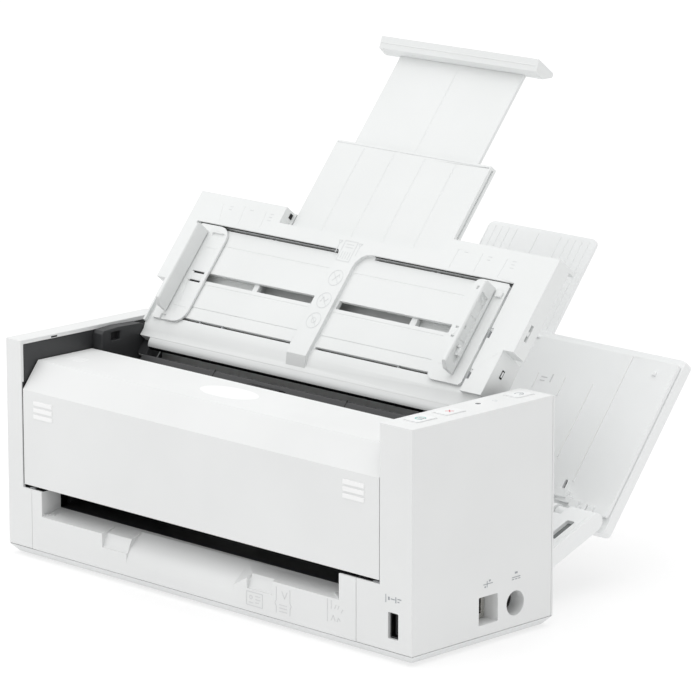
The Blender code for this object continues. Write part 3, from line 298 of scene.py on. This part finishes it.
def ring(bm, cu, cv, r0, r1, axis, a, b, seg=40, a0=0.0, a1=360.0):
    """Flat ring or arc band between two radii."""
    closed = abs(a1 - a0) >= 359.9
    n = seg if closed else seg + 1
    loops = []
    for k in range(n):
        t = math.radians(a0 + (a1 - a0) * k / seg)
        row = []
        for r, h in ((r0, a), (r1, a), (r1, b), (r0, b)):
            u, v = cu + r * math.cos(t), cv + r * math.sin(t)
            row.append(bm.verts.new((u, v, h) if axis == 'z' else ((h, u, v) if axis == 'x' else (u, h, v))))
        loops.append(row)
    rng = range(n) if closed else range(n - 1)
    for k in rng:
        p, q = loops[k], loops[(k + 1) % n]
        for i in range(4):
            j = (i + 1) % 4
            bm.faces.new((p[i], p[j], q[j], q[i]))
    if not closed:
        bm.faces.new(loops[0])
        bm.faces.new(list(reversed(loops[-1])))


BRIGHT = moulded("grip_white", (0.90, 0.90, 0.90), 0.4, 0.008)
KEYTOP = moulded("key_white", (0.83, 0.84, 0.84), 0.36, 0.008, 0.03)
EMBOSS = moulded("embossed_mark", (0.66, 0.665, 0.67), 0.45, 0.01, 0.05)
EMBOSS_TRAY = moulded("tray_mark", (0.72, 0.735, 0.735), 0.45, 0.01, 0.05)
LABEL = moulded("rating_label", (0.72, 0.73, 0.74), 0.3, 0.01, 0.02)


def strip(bm, p, q, w, axis, a, b):
    """A thin bar of width w between two points on a plane, from height a to b."""
    d = Vector((q[0] - p[0], q[1] - p[1])).normalized()
    s = Vector((-d.y, d.x)) * (w / 2)
    add_prism(bm, [(p[0] + s.x, p[1] + s.y), (p[0] - s.x, p[1] - s.y), (q[0] - s.x, q[1] - s.y), (q[0] + s.x, q[1] + s.y)], axis, a, b)


def path(bm, pts, w, axis, a, b, closed=False):
    n = len(pts)
    for i in range(n if closed else n - 1):
        strip(bm, pts[i], pts[(i + 1) % n], w, axis, a, b)


def bars(name, specs, mat, body, space=BODY, bevel=0.0, segs=2):
    bm = bmesh.new()
    for x0, x1, y0, y1, z0, z1 in specs:
        add_box(bm, x0, x1, y0, y1, z0, z1)
    return piece(name, bm, mat, body, space, bevel, segs)


def tv(x0, x1, v0, v1, n0, n1):
    """Box in the tray frame with v measured down the tray."""
    return (x0, x1, -v1, -v0, n0, n1)


# ---- front cover: raised grip bars, blank oval badge, sheet mark
for side, x0, x1 in (("left", 22.0, 37.4), ("right", 262.2, 277.7)):
    for i, z in enumerate((88.5, 84.75, 81.0)):
        bm = bmesh.new()
        add_prism(bm, rrect(x0, x1, z, z + 2.55, 0.4, 3), 'y', -0.05, 0.9)
        piece("grip_bar_%s_%d" % (side, i + 1), bm, BRIGHT, "cover", BODY, 0.18, 2)
bm = bmesh.new()
oval = [(144.6 + 20.4 * math.cos(math.radians(a)), 32.6 + 10.2 * math.sin(math.radians(a))) for a in range(0, 360, 6)]
add_prism(bm, oval, 'z', 110.6, 111.02)
piece("cover_badge_blank", bm, BRIGHT, "cover", BODY, 0.12, 2)
bm = bmesh.new()
path(bm, [(22.5, 24.6), (33.6, 24.6), (33.6, 31.4), (22.5, 31.4)], 0.45, 'z', 110.7, 110.98, True)
for y in (26.3, 28.0, 29.7):
    strip(bm, (24.2, y), (31.8, y), 0.45, 'z', 110.7, 110.98)
piece("cover_sheet_mark", bm, BRIGHT, "cover", BODY)

# ---- dark floor of the slit under the cover and beside it, with the small catches
bars("slit_floor", [(12.9, 19.2, 1.3, 13.4, 40.0, 40.32), (19.9, 27.7, 1.3, 13.6, 40.0, 40.32), (259.9, 271.8, 1.3, 13.6, 40.0, 40.32),
                    (272.5, 288.8, 1.3, 13.4, 40.0, 40.32)], BLACK, "body")
bars("slit_side_strips", [(12.38, 12.62, 0.7, 9.0, 42.3, 100.0), (288.88, 289.12, 0.7, 9.0, 42.3, 100.0)], BLACK, "body")
bars("cover_catches", [(17.2, 20.8, 1.0, 3.6, 40.3, 40.75), (283.4, 288.4, 1.0, 3.6, 40.3, 40.75)], SHADOW_GREY, "body", BODY, 0.1)
bars("pivot_block_holes", [(17.42, 17.6, 60.05, 66.75, 115.05, 119.75), (283.9, 284.08, 60.05, 66.75, 115.05, 119.75)], BLACK, "body")
bars("liner_notch", [(11.7, 12.5, 22.4, 26.8, 121.6, 123.4 - 0.9)], BLACK, "body")

# ---- keys: raised caps with plain symbols
for nm, y0, y1 in (("scan", 12.0, 27.5), ("cancel", 33.5, 49.0), ("power", 87.0, 101.0)):
    bm = bmesh.new()
    add_prism(bm, rrect(293.95, 303.45, y0 + 0.75, y1 - 0.75, 1.0, 4), 'z', 124.9, 125.85)
    piece(nm + "_key_cap", bm, KEYTOP, nm + "_button", BODY, 0.22, 3)
Z0, Z1 = 125.8, 125.92
bm = bmesh.new()
ring(bm, 298.7, 19.7, 2.35, 2.95, 'z', Z0, Z1, 36, 25, 335)
piece("scan_symbol_arc", bm, ICON_GREEN, "scan_button", BODY)
bm = bmesh.new()
strip(bm, (296.9, 18.9), (300.3, 18.9), 0.45, 'z', Z0, Z1)
strip(bm, (296.9, 20.5), (300.3, 20.5), 0.45, 'z', Z0, Z1)
strip(bm, (300.6, 17.6), (300.6, 21.9), 0.5, 'z', Z0, Z1)
piece("scan_symbol_lines", bm, ICON_MID, "scan_button", BODY)
bm = bmesh.new()
strip(bm, (297.1, 39.7), (300.3, 42.9), 0.6, 'z', Z0, Z1)
strip(bm, (297.1, 42.9), (300.3, 39.7), 0.6, 'z', Z0, Z1)
piece("cancel_symbol", bm, ICON_RED, "cancel_button", BODY)
bm = bmesh.new()
ring(bm, 298.7, 94.0, 2.0, 2.5, 'z', Z0, Z1, 36, -50, 230)
strip(bm, (298.7, 94.6), (298.7, 97.2), 0.5, 'z', Z0, Z1)
piece("power_symbol", bm, ICON_MID, "power_button", BODY)
bm = bmesh.new()
ring(bm, 296.8, 64.7, 1.62, 2.2, 'z', 125.2, 125.42, 32)
piece("status_bezel", bm, KEYTOP, "body", BODY)
bars("key_panel_ticks", [(297.4, 300.8, 74.6, 75.0, 125.3, 125.45), (297.4, 299.8, 76.2, 76.6, 125.3, 125.45)], ICON, "body")

# ---- sockets: plain symbols, contacts, dark inner floors
bars("host_port_symbol", [(293.4, 293.8, -0.12, 0.2, 31.6, 36.0), (295.2, 296.3, -0.12, 0.2, 33.2, 34.9), (297.2, 299.9, -0.12, 0.2, 33.8, 34.3),
                          (300.4, 301.0, -0.12, 0.2, 32.4, 35.6), (301.9, 303.2, -0.12, 0.2, 33.0, 33.5), (301.9, 304.6, -0.12, 0.2, 34.5, 35.0)],
     ICON_MID, "body")
bars("device_port_symbol", [(311.8, 312.12, 53.4, 60.4, 33.2, 33.6), (311.8, 312.12, 56.0, 56.4, 31.6, 35.0), (311.8, 312.12, 57.6, 58.8, 34.4, 35.4),
                            (311.8, 312.12, 54.2, 55.2, 31.6, 32.4)], ICON_MID, "body")
bars("power_socket_symbol", [(311.8, 312.12, 75.2, 81.6, 32.6, 33.0), (311.8, 312.12, 75.2, 76.8, 31.5, 31.9), (311.8, 312.12, 77.6, 79.2, 31.5, 31.9),
                             (311.8, 312.12, 80.0, 81.6, 31.5, 31.9), (311.8, 312.12, 77.4, 79.4, 34.6, 35.6)], ICON_MID, "body")
bars("host_port_contacts", [(297.1, 297.65, 4.0, 11.0, z, z + 1.2) for z in (15.2, 17.8, 20.4, 23.0)], GOLD, "body")
bars("host_port_tongue", [(297.5, 299.3, 3.2, 12.0, 14.4, 25.0)], BLACK, "body", BODY, 0.15)
bars("device_port_contacts", [(296.0, 301.0, y, y + 0.8, 20.85, 21.1) for y in (55.4, 58.4)] +
     [(296.0, 301.0, y, y + 0.8, 17.6, 17.85) for y in (55.4, 58.4)], GOLD, "body")
bm = bmesh.new()
ring(bm, 78.0, 18.6, 5.0, 6.25, 'x', 302.3, 302.9, 40)
piece("power_socket_ring", bm, BLACK, "body", BODY, 0.15)

# ---- lower front panel: generic sheet symbols, embossed
E0, E1 = -0.14, 0.3
bm = bmesh.new()
path(bm, [(191.0, 9.4), (203.0, 9.4), (203.0, 16.8), (191.0, 16.8)], 0.4, 'y', E0, E1, True)
strip(bm, (197.6, 15.0), (201.4, 15.0), 0.4, 'y', E0, E1)
strip(bm, (197.6, 13.2), (201.4, 13.2), 0.4, 'y', E0, E1)
strip(bm, (197.6, 11.4), (200.2, 11.4), 0.4, 'y', E0, E1)
ring(bm, 194.3, 13.9, 0.8, 1.2, 'y', E0, E1, 20)
strip(bm, (192.6, 11.0), (196.0, 11.0), 0.4, 'y', E0, E1)
piece("panel_mark_card", bm, EMBOSS, "body", BODY)
bm = bmesh.new()
path(bm, [(213.4, 9.4), (213.4, 13.0), (212.4, 14.6), (213.4, 16.4), (213.4, 23.6)], 0.4, 'y', E0, E1)
path(bm, [(223.6, 9.4), (223.6, 13.0), (224.6, 14.6), (223.6, 16.4), (223.6, 23.6)], 0.4, 'y', E0, E1)
for z in (10.6, 12.4, 14.2):
    strip(bm, (215.6, z), (221.4, z), 0.4, 'y', E0, E1)
path(bm, [(217.6, 21.8), (219.6, 18.0), (221.6, 21.8)], 0.4, 'y', E0, E1)
piece("panel_mark_sheet", bm, EMBOSS, "body", BODY)
bm = bmesh.new()
strip(bm, (251.4, 12.6), (251.4, 25.0), 0.4, 'y', E0, E1)
strip(bm, (254.2, 20.0), (254.2, 24.6), 0.4, 'y', E0, E1)
for x, z0, z1 in ((256.6, 20.4, 22.6), (258.8, 20.4, 22.6), (261.4, 19.0, 21.0)):
    strip(bm, (x, z0), (x + 1.2, z1), 0.4, 'y', E0, E1)
path(bm, [(254.0, 13.6), (255.6, 16.6), (257.0, 13.6)], 0.4, 'y', E0, E1)
path(bm, [(258.4, 13.6), (259.4, 15.8), (260.8, 14.4)], 0.4, 'y', E0, E1)
piece("panel_mark_stack", bm, EMBOSS, "body", BODY)
# ribs on the ends of the exit ramp
bars("ramp_ribs_left", [(28.2 + 1.6 * i, 28.6 + 1.6 * i, 1.0 + 0.9 * i, 8.0, 25.8, 27.2 + 0.16 * i) for i in range(4)], WHITE, "body")
bars("ramp_ribs_right", [(252.6 + 1.6 * i, 253.0 + 1.6 * i, 3.7 - 0.9 * i, 8.0, 25.8, 27.7 - 0.16 * i) for i in range(4)], WHITE, "body")

# ---- chute: seams of the dark paper guide, charcoal plates on the tray's pivot arms as painted shade
def chute(v0, v1, n0, n1, x0, x1):
    return (x0 - 150.7, x1 - 150.7, -v1, -v0, n0, n1)


bars("chute_seams", [chute(102.6, 131.0, -4.75, -4.38, 88.2, 88.8), chute(102.6, 131.0, -4.75, -4.38, 190.7, 191.3)], BLACK, "body", TRAY)
bm = bmesh.new()
add_prism(bm, [(-110.0, -4.45), (-104.4, -4.45), (-103.3, -4.9), (-102.8, -5.7), (-103.0, -6.6), (-103.8, -6.9), (-104.2, -6.0), (-110.0, -5.6)], 'x',
          29.5 - 150.7, 276.4 - 150.7)
piece("chute_edge", bm, CHUTE_GREY, "body", TRAY, 0.25, 2)
bm = bmesh.new()
for xc in (52.0, 112.0, 176.4, 236.4):
    for k in range(5):
        add_prism(bm, [(xc - 6.0 + 2.6 * k - 150.7, -133.6), (xc - 5.4 + 2.6 * k - 150.7, -133.6), (xc - 5.4 + 2.6 * k - 150.7, -110.5),
                       (xc - 6.0 + 2.6 * k - 150.7, -110.5)], 'z', -4.8, -4.35)
piece("chute_ribs", bm, CHARCOAL, "body", TRAY)
# Charcoal plates over the end of the left pivot arm: painted shade where the arm sits in shadow.
bars("arm_painted_shade_left", [tv(-130.1, -122.9, 92.9, 101.6, -9.3, -8.5), tv(-130.1, -129.95, 92.9, 101.6, -16.0, -8.6)], CHARCOAL, "tray", TRAY, 0.1)

# ---- tray: black sheets on the slot floors as painted shade of the deep slots, small slots, stops
D = -3.7
bars("tray_slot_painted_shade_floors", [tv(-126.9, -17.2, 18.85, 21.15, -6.2, -5.3), tv(11.4, 113.7, 18.85, 21.15, -6.2, -5.3),
                          tv(-126.9, -17.8, 77.25, 79.55, -6.2, -5.0), tv(1.8, 113.5, 77.25, 79.55, -6.2, -5.0)], BLACK, "tray", TRAY)
# Black strips on the recess wall above the slots: painted shade.
bars("tray_slot_wall_painted_shade", [tv(-126.9, -17.2, 18.55, 18.72, -5.4, -1.9), tv(-126.9, -17.2, 18.55, 18.72, -1.6, -1.1),
                        tv(11.4, 113.7, 18.55, 18.72, -5.4, -1.9), tv(11.4, 113.7, 18.55, 18.72, -1.6, -1.1)], DEEP, "tray", TRAY)
bars("tray_slot_fill", [tv(-126.9, -17.8, 78.75, 79.62, -5.6, -2.42), tv(1.8, 113.5, 78.75, 79.62, -5.6, -2.42),
                        tv(-126.9, -17.2, 20.4, 21.22, -5.6, -2.42), tv(11.4, 113.7, 20.4, 21.22, -5.6, -2.42)], WHITE_TRAY, "tray", TRAY)
# Black strip under the tray lip: painted shadow line below the lip.
bars("lip_painted_shadow", [tv(-121.2, 121.2, 97.2, 98.1, -8.6, -5.6)], DEEP, "tray", TRAY, 0.2)
# Charcoal plate on the inner side of the left pivot arm: painted shade.
bars("arm_painted_shade_inner", [tv(-124.0, -123.6, 90.0, 101.8, -17.2, -9.0)], CHARCOAL, "tray", TRAY)
bars("tray_slot_stops", [tv(-72.4, -70.8, 18.9, 21.1, -5.4, -4.2), tv(-68.6, -67.0, 18.9, 21.1, -5.4, -4.2), tv(52.0, 53.6, 18.9, 21.1, -5.4, -4.2),
                         tv(56.2, 57.8, 18.9, 21.1, -5.4, -4.2), tv(-90.0, -89.3, 77.25, 78.8, -5.4, -2.45), tv(-72.0, -71.3, 77.25, 78.8, -5.4, -2.45),
                         tv(64.0, 64.7, 77.25, 78.8, -5.4, -2.45), tv(86.0, 86.7, 77.25, 78.8, -5.4, -2.45)], SHADOW_GREY, "tray", TRAY)
bars("mid_slot_posts", [tv(-66.0, -62.2, 48.0, 52.9, -7.2, -4.3), tv(55.2, 59.6, 48.0, 52.9, -7.2, -4.3)], WHITE_TRAY, "tray", TRAY, 0.2)
bars("notch_slot", [tv(-68.02, -67.7, 1.4, 4.4, -7.0, -4.6)], BLACK, "tray", TRAY)
bars("side_slot_lower", [tv(129.7, 129.98, 65.4, 70.4, -8.8, -6.6)], BLACK, "tray", TRAY)
bars("side_latch", [tv(129.7, 130.3, 66.2, 69.4, -8.2, -7.2)], WHITE_TRAY, "tray", TRAY, 0.12)
bars("side_slot_tab", [tv(135.2, 136.6, 42.2, 44.8, -5.4, -3.6)], WHITE_TRAY, "tray", TRAY, 0.15)
bars("recess_corner_gap", [tv(114.1, 115.05, 18.8, 29.0, -3.6, -0.6), tv(114.4, 115.05, 47.6, 54.6, -2.3, -0.2), tv(114.4, 115.05, 72.6, 80.8, -2.3, -0.2)],
     SHADOW_GREY, "tray", TRAY)

# ---- tray: embossed generic symbols on the spine and size ticks
H0, H1 = -0.2, 0.13
bm = bmesh.new()
path(bm, [(-13.6, -13.0), (-4.0, -13.0), (-4.0, -25.4), (-13.6, -25.4)], 0.45, 'z', H0, H1, True)
for x in (-11.6, -9.7, -7.8, -5.9):
    strip(bm, (x, -19.6), (x, -24.2), 0.4, 'z', H0, H1)
strip(bm, (-11.6, -15.0), (-6.0, -15.0), 0.4, 'z', H0, H1)
strip(bm, (-11.6, -16.8), (-6.0, -16.8), 0.4, 'z', H0, H1)
path(bm, [(-17.0, -15.4), (-18.2, -13.4), (-15.6, -13.4)], 0.4, 'z', H0, H1, True)
path(bm, [(-1.6, -15.4), (-0.2, -13.4), (-2.8, -13.4)], 0.4, 'z', H0, H1, True)
strip(bm, (-16.9, -15.6), (-16.9, -21.0), 0.4, 'z', H0, H1)
strip(bm, (-1.5, -15.6), (-1.5, -21.0), 0.4, 'z', H0, H1)
piece("spine_mark_page", bm, EMBOSS_TRAY, "tray", TRAY)
for i, v in enumerate((36.0, 50.4, 63.2)):
    bm = bmesh.new()
    cx = -7.0
    ring(bm, cx, -v, 4.55, 5.0, 'z', H0, H1, 40)
    strip(bm, (cx - 3.2, -v + 3.2), (cx + 3.2, -v - 3.2), 0.45, 'z', H0, H1)
    if i == 0:
        path(bm, [(cx - 1.8, -v - 2.0), (cx + 1.6, -v + 2.4), (cx + 2.4, -v + 0.6)], 0.4, 'z', H0, H1)
    elif i == 1:
        path(bm, [(cx - 2.6, -v - 1.2), (cx - 1.0, -v + 1.8), (cx + 0.6, -v - 0.8), (cx + 2.6, -v + 1.4)], 0.4, 'z', H0, H1)
    else:
        ring(bm, cx, -v, 1.4, 1.8, 'z', H0, H1, 24)
    piece("spine_mark_round_%d" % (i + 1), bm, EMBOSS_TRAY, "tray", TRAY)
bm = bmesh.new()
for x, w in ((-109.6, 1), (-93.6, 0), (-77.2, 2), (71.6, 0), (89.2, 1), (106.8, 2)):
    strip(bm, (x, -6.2), (x + 2.6, -6.2), 0.4, 'z', H0, H1)
    if w != 0:
        strip(bm, (x, -8.2), (x + 2.2, -8.2), 0.4, 'z', H0, H1)
    if w == 2:
        strip(bm, (x, -10.2), (x + 2.6, -10.2), 0.4, 'z', H0, H1)
piece("size_ticks", bm, EMBOSS_TRAY, "tray", TRAY)

# ---- guides: clips, ears, wall rims
PT = -0.6
for side, nm in ((-1, "left"), (1, "right")):
    def gx(d0, d1):
        return tuple(sorted((PC + side * d0, PC + side * d1)))
    bars(nm + "_guide_ear", [tv(*gx(112.9, 117.6), 24.8, 28.2, PT - 0.1, PT + 1.2)], WHITE_TRAY, nm + "_guide", TRAY, 0.35, 3)
    bars(nm + "_guide_clip", [tv(*gx(104.8, 107.6), 49.2, 54.6, PT - 0.05, PT + 0.16), tv(*gx(97.6, 99.0), 50.4, 53.6, PT - 0.05, PT + 0.16)],
         WHITE_TRAY, nm + "_guide", TRAY, 0.06, 2)
    a, b = gx(97.2, 107.4)
    bars(nm + "_guide_lines", [tv(a + 0.4, b - 0.4, 71.2, 71.6, PT - 0.05, PT + 0.14), tv(a + 2.0, b - 0.4, 33.0, 33.4, PT - 0.05, PT + 0.12)],
         WHITE_TRAY, nm + "_guide", TRAY)
    if side < 0:
        bars(nm + "_guide_clip_shadow", [tv(*gx(97.1, 106.5), 48.65, 49.85, PT - 0.95, PT - 0.8), tv(*gx(97.1, 105.7), 54.25, 55.45, PT - 0.95, PT - 0.8)],
         BLACK, nm + "_guide", TRAY)
    wo = PC + side * 112.0
    lo, hi = sorted((wo - side * 1.45, wo + side * 1.3))
    bars(nm + "_wall_tab", [tv(lo, hi, 63.0, 67.2, 2.6, 5.0), tv(lo, (lo + hi) / 2 + 0.4, 61.2, 63.0, 2.6, 6.0) if side > 0 else
                            tv((lo + hi) / 2 - 0.4, hi, 61.2, 63.0, 2.6, 6.0)], WHITE_TRAY, nm + "_guide_wall", TRAY, 0.3, 3)
    bm = bmesh.new()
    f0, f1 = sorted((wo - side * 1.45, wo - side * 0.5))
    pts = [(-33.8, 8.8), (-32.8, 7.0), (-34.0, 4.8), (-35.6, 3.2)]
    for i in range(len(pts) - 1):
        strip(bm, pts[i], pts[i + 1], 0.5, 'x', f0, f1)
    for v in (-44.0, -58.4):
        strip(bm, (v, 2.5), (v, 8.8), 0.35, 'x', min(wo - side * 1.45, wo - side * 1.1), max(wo - side * 1.45, wo - side * 1.1))
    piece(nm + "_wall_ribs", bm, WHITE_TRAY, nm + "_guide_wall", TRAY)

# ---- rear panel, stacker extension, link
bars("panel_ribs", [(x - 0.3, x + 0.3, -v1 + 0.2, -v0 - 0.2, -0.4, 0.42) for x, v0, v1 in
                    ((254.2, 1.0, 80.0), (236.2, 22.0, 68.0), (215.7, 21.0, 33.0), (196.0, 22.0, 31.0))], BRIGHT, "panel", PANEL, 0.12)
bars("panel_slot_dark", [(249.3, 250.7, -85.0, -80.0, -1.62, -1.4)], BLACK, "panel", PANEL)
bars("panel_bump", [(272.4, 275.0, -9.6, -7.2, -0.1, 0.9)], WHITE_REAR_PAINTED_LIGHT, "panel", PANEL, 0.4, 3)
bars("panel_marks", [(206.2, 207.0, -26.0, -21.0, -0.1, 0.2), (199.0, 203.4, -24.0, -23.4, -0.1, 0.2), (199.0, 202.4, -26.2, -25.6, -0.1, 0.2)],
     EMBOSS, "panel", PANEL)
bars("panel_lip", [(106.0, 185.0, -1.6, -0.3, -0.1, 0.7)], WHITE_REAR_PAINTED_LIGHT, "panel", PANEL, 0.3, 3)
bars("stacker_ribs", [(x, x + 0.5, -26.0, 64.0, -5.2, -4.85) for x in (104.6, 109.7, 114.7, 120.1, 126.2, 143.0, 160.0, 166.0, 171.4, 176.5, 181.6)],
     WHITE_REAR_PAINTED_LIGHT, "stacker_extension", PANEL, 0.1)
bars("panel_block_a", [(247.2, 256.6, -91.0, -86.0, -0.1, 3.2), (250.0, 260.2, -93.2, -89.0, -0.1, 2.0)], WHITE_REAR_PAINTED_LIGHT, "panel", PANEL, 0.4, 3)
bars("panel_block_b", [(260.4, 266.4, -95.4, -90.4, -0.1, 2.4), (262.6, 268.6, -96.2, -93.0, -0.1, 1.6)], WHITE_REAR_PAINTED_LIGHT, "panel", PANEL, 0.4, 3)
bars("panel_block_c", [(269.8, 272.6, -96.0, -91.2, -0.1, 2.2), (272.9, 277.0, -96.0, -91.2, -0.1, 1.4)], WHITE_REAR_PAINTED_LIGHT, "panel", PANEL, 0.3, 3)
bars("panel_block_d", [(25.0, 34.4, -93.2, -86.0, -0.1, 2.4), (38.0, 46.0, -95.4, -90.4, -0.1, 2.0)], WHITE_REAR_PAINTED_LIGHT, "panel", PANEL, 0.4, 3)
# Dark grey sheet on the groove floor of the link: painted shade.
bars("link_slot_painted_shade_floor", [(275.95, 281.25, 33.2, 65.3, 2.85, 3.0)], LINK_SLOT_SHADE, "link", LINK)
bars("link_slot_divider", [(275.95, 281.25, 48.4, 49.0, 2.85, 4.2)], WHITE_REAR_PAINTED_LIGHT, "link", LINK)
bars("link_edge_line", [(284.6, 285.0, 12.0, 72.0, 4.95, 5.18)], WHITE_REAR_PAINTED_LIGHT, "link", LINK)
bars("link_bracket_b", [(244.6, 252.0, 58.0, 70.0, 4.9, 8.4), (252.0, 256.8, 62.0, 72.0, 4.9, 6.6), (226.0, 233.0, 58.0, 70.0, 4.9, 7.6)],
     WHITE_REAR_PAINTED_LIGHT, "link", LINK, 0.5, 3)
bars("link_bracket_c", [(44.6, 52.0, 58.0, 70.0, 4.9, 8.4), (26.6, 32.6, 62.0, 71.5, 4.9, 7.4), (61.0, 68.0, 58.0, 70.0, 4.9, 7.6)],
     WHITE_REAR_PAINTED_LIGHT, "link", LINK, 0.5, 3)
bars("link_top_ribs", [(72.0 + 18.0 * i, 73.0 + 18.0 * i, 22.0, 68.0, 4.9, 5.7) for i in range(9)], WHITE_REAR_PAINTED_LIGHT, "link", LINK, 0.2)

# ---- back, underside and inside
for i, (x, z) in enumerate(((8.0, 14.0), (304.0, 14.0), (8.0, 112.0), (304.0, 112.0))):
    bm = bmesh.new()
    ring(bm, x, z, 1.0, 2.6, 'y', 107.1, 107.5, 24)
    add_box(bm, x - 0.9, x + 0.9, 107.0, 107.3, z - 0.25, z + 0.25)
    add_box(bm, x - 0.25, x + 0.25, 107.0, 107.3, z - 0.9, z + 0.9)
    piece("back_screw_%d" % (i + 1), bm, STEEL, "body", BODY)
for i, (x, y) in enumerate(((50.0, 18.0), (262.0, 18.0), (50.0, 90.0), (262.0, 90.0))):
    bm = bmesh.new()
    ring(bm, x, y, 1.2, 3.0, 'z', 0.75, 1.15, 24)
    add_box(bm, x - 1.1, x + 1.1, y - 0.3, y + 0.3, 0.95, 1.2)
    add_box(bm, x - 0.3, x + 0.3, y - 1.1, y + 1.1, 0.95, 1.2)
    piece("base_screw_%d" % (i + 1), bm, STEEL, "body", BODY)
bm = bmesh.new()
add_prism(bm, rrect(112.0, 196.0, 40.0, 70.0, 2.0, 4), 'z', 0.95, 1.15)
piece("rating_label_blank", bm, LABEL, "body", BODY)
bm = bmesh.new()
for k in range(5):
    strip(bm, (116.0, 44.0 + 4.6 * k), (116.0 + (64.0, 50.0, 70.0, 40.0, 58.0)[k], 44.0 + 4.6 * k), 0.7, 'z', 0.86, 1.0)
piece("rating_label_lines", bm, ICON, "body", BODY)
bm = bmesh.new()
path(bm, [(10.0, 10.0), (302.0, 10.0), (302.0, 97.0), (10.0, 97.0)], 1.2, 'z', 0.85, 1.15, True)
piece("base_rim", bm, PALE, "body", BODY)
bars("base_vents", [(216.0 + 5.0 * i, 218.4 + 5.0 * i, 44.0, 66.0, 0.9, 1.16) for i in range(7)], SHADOW_GREY, "body", BODY)
bm = bmesh.new()
for i in range(9):
    add_box(bm, 60.2 + 8.0 * i, 62.2 + 8.0 * i, 104.4, 104.7, 62.4, 83.6)
piece("vent_screen", bm, BLACK, "body", BODY)
bars("back_mark_frame", [(180.0, 240.0, 107.15, 107.3, 60.0, 60.6), (180.0, 240.0, 107.15, 107.3, 85.4, 86.0), (180.0, 180.6, 107.15, 107.3, 60.0, 86.0),
                         (239.4, 240.0, 107.15, 107.3, 60.0, 86.0)], EMBOSS, "body")
bars("tray_back_ribs", [tv(x, x + 1.4, 6.0, 52.0, -13.3, -12.4) for x in (-122.0, -104.0, -86.0, 73.0, 91.0, 109.0, 124.0)], WHITE_TRAY, "tray", TRAY, 0.2)
bars("tray_pocket_ribs", [tv(x, x + 1.2, 8.0, 88.0, -16.0, -15.1) for x in (-56.0, -32.0, -7.0, 18.0, 43.0)], WHITE_TRAY, "tray", TRAY, 0.2)
bars("panel_back_ribs", [(30.0, 271.0, -18.0, -16.4, -10.0, -9.1), (30.0, 271.0, -92.0, -90.4, -10.0, -9.1), (30.0, 31.6, -92.0, -16.4, -10.0, -9.1),
                         (269.4, 271.0, -92.0, -16.4, -10.0, -9.1)], WHITE_REAR_PAINTED_LIGHT, "panel", PANEL, 0.25)
bm = bmesh.new()
add_prism(bm, rrect(124.0, 176.0, -14.0, -5.0, 3.0, 4), 'z', -9.9, -9.1)
piece("panel_finger_pad", bm, WHITE_REAR_PAINTED_LIGHT, "panel", PANEL, 0.3, 3)
bars("end_cap_lines", [(PC - 59.0, PC + 59.0, 112.0, 112.5, -2.9, -2.35)], WHITE_TRAY, "extension_2", TRAY)
bars("board_parts", [(x, x + 5.0, y, y + 3.4, 11.5, 13.0) for x, y in ((70, 36), (80, 60), (122, 66), (150, 50), (190, 60), (222, 64), (240, 50), (250, 66))],
     CHARCOAL, "body", BODY, 0.15)
bars("board_connectors", [(96.0 + 30.0 * i, 108.0 + 30.0 * i, 72.0, 77.0, 11.5, 17.0) for i in range(4)], ACETAL, "body", BODY, 0.25)
bm = bmesh.new()
yz = (137.4 - 119.0 * math.sin(math.radians(TILT)) - 5.5 * math.cos(math.radians(TILT)),
      189.2 - 119.0 * math.cos(math.radians(TILT)) + 5.5 * math.sin(math.radians(TILT)))
for k in range(8):
    ring(bm, yz[0], yz[1], 8.7, 9.15, 'x', 133.2 + 2.9 * k, 134.0 + 2.9 * k, 36)
piece("separation_tyre_rings", bm, RUBBER, "separation_roller", BODY)

# ------------------------------------------------------------------ studio
def area(name, loc, target, size, power, color=(1, 1, 1), size_y=None):
    li = bpy.data.lights.new(name, 'AREA')
    li.energy = power
    li.color = color
    li.size = size
    if size_y:
        li.shape = 'RECTANGLE'
        li.size_y = size_y
    o = bpy.data.objects.new(name, li)
    COLL.objects.link(o)
    o.location = loc
    d = Vector(target) - Vector(loc)
    o.rotation_euler = d.to_track_quat('-Z', 'Y').to_euler()
    return o


floor_m, nt, b = nodes_of("studio_floor")
vec = coords(nt, 1.0)
nt.links.new(ramp(nt, noise(nt, vec, 1.5, 2.0), (0.44, 0.44, 0.44), (0.46, 0.46, 0.46)), b.inputs["Base Color"])
b.inputs["Roughness"].default_value = 0.6
b.inputs["Specular IOR Level"].default_value = 0.15
b.inputs["Emission Color"].default_value = (1.0, 1.0, 1.0, 1.0)
b.inputs["Emission Strength"].default_value = 0.54
bm = bmesh.new()
bmesh.ops.create_grid(bm, x_segments=1, y_segments=1, size=9.0)
me = bpy.data.meshes.new("studio_floor")
bm.to_mesh(me)
bm.free()
floor = bpy.data.objects.new("studio_floor", me)
COLL.objects.link(floor)
me.materials.append(floor_m)

world = bpy.data.worlds.new("studio")
SCENE.world = world
world.use_nodes = True
wn = world.node_tree
bg = wn.nodes["Background"]
bg.inputs["Color"].default_value = (1.0, 1.0, 1.0, 1)
bg.inputs["Strength"].default_value = 0.68

sun = bpy.data.lights.new("soft_sun", 'SUN')
sun.energy = 1.5
sun.angle = math.radians(70.0)
so = bpy.data.objects.new("soft_sun", sun)
COLL.objects.link(so)
so.location = (0.0, 0.0, 3.0)
so.rotation_euler = Vector((-0.04, -0.06, 0.99)).to_track_quat('Z', 'Y').to_euler()
area("key_left", (-0.75, -0.75, 0.55), (-0.05, -0.10, 0.09), 0.7, 0.9)
SCENE.view_settings.view_transform = 'Standard'

cam = bpy.data.cameras.new("camera")
cam.lens = 219.80
cam.sensor_width = 36.0
cam.clip_start = 0.05
cam.clip_end = 50.0
co = bpy.data.objects.new("camera", cam)
COLL.objects.link(co)
co.location = (Vector((1756.51, -1506.91, 648.06)) + SHIFT) * MM
co.rotation_euler = (math.radians(90 - 12.98336), 0.0, math.radians(44.65181))
SCENE.camera = co

bpy.context.view_layer.update()
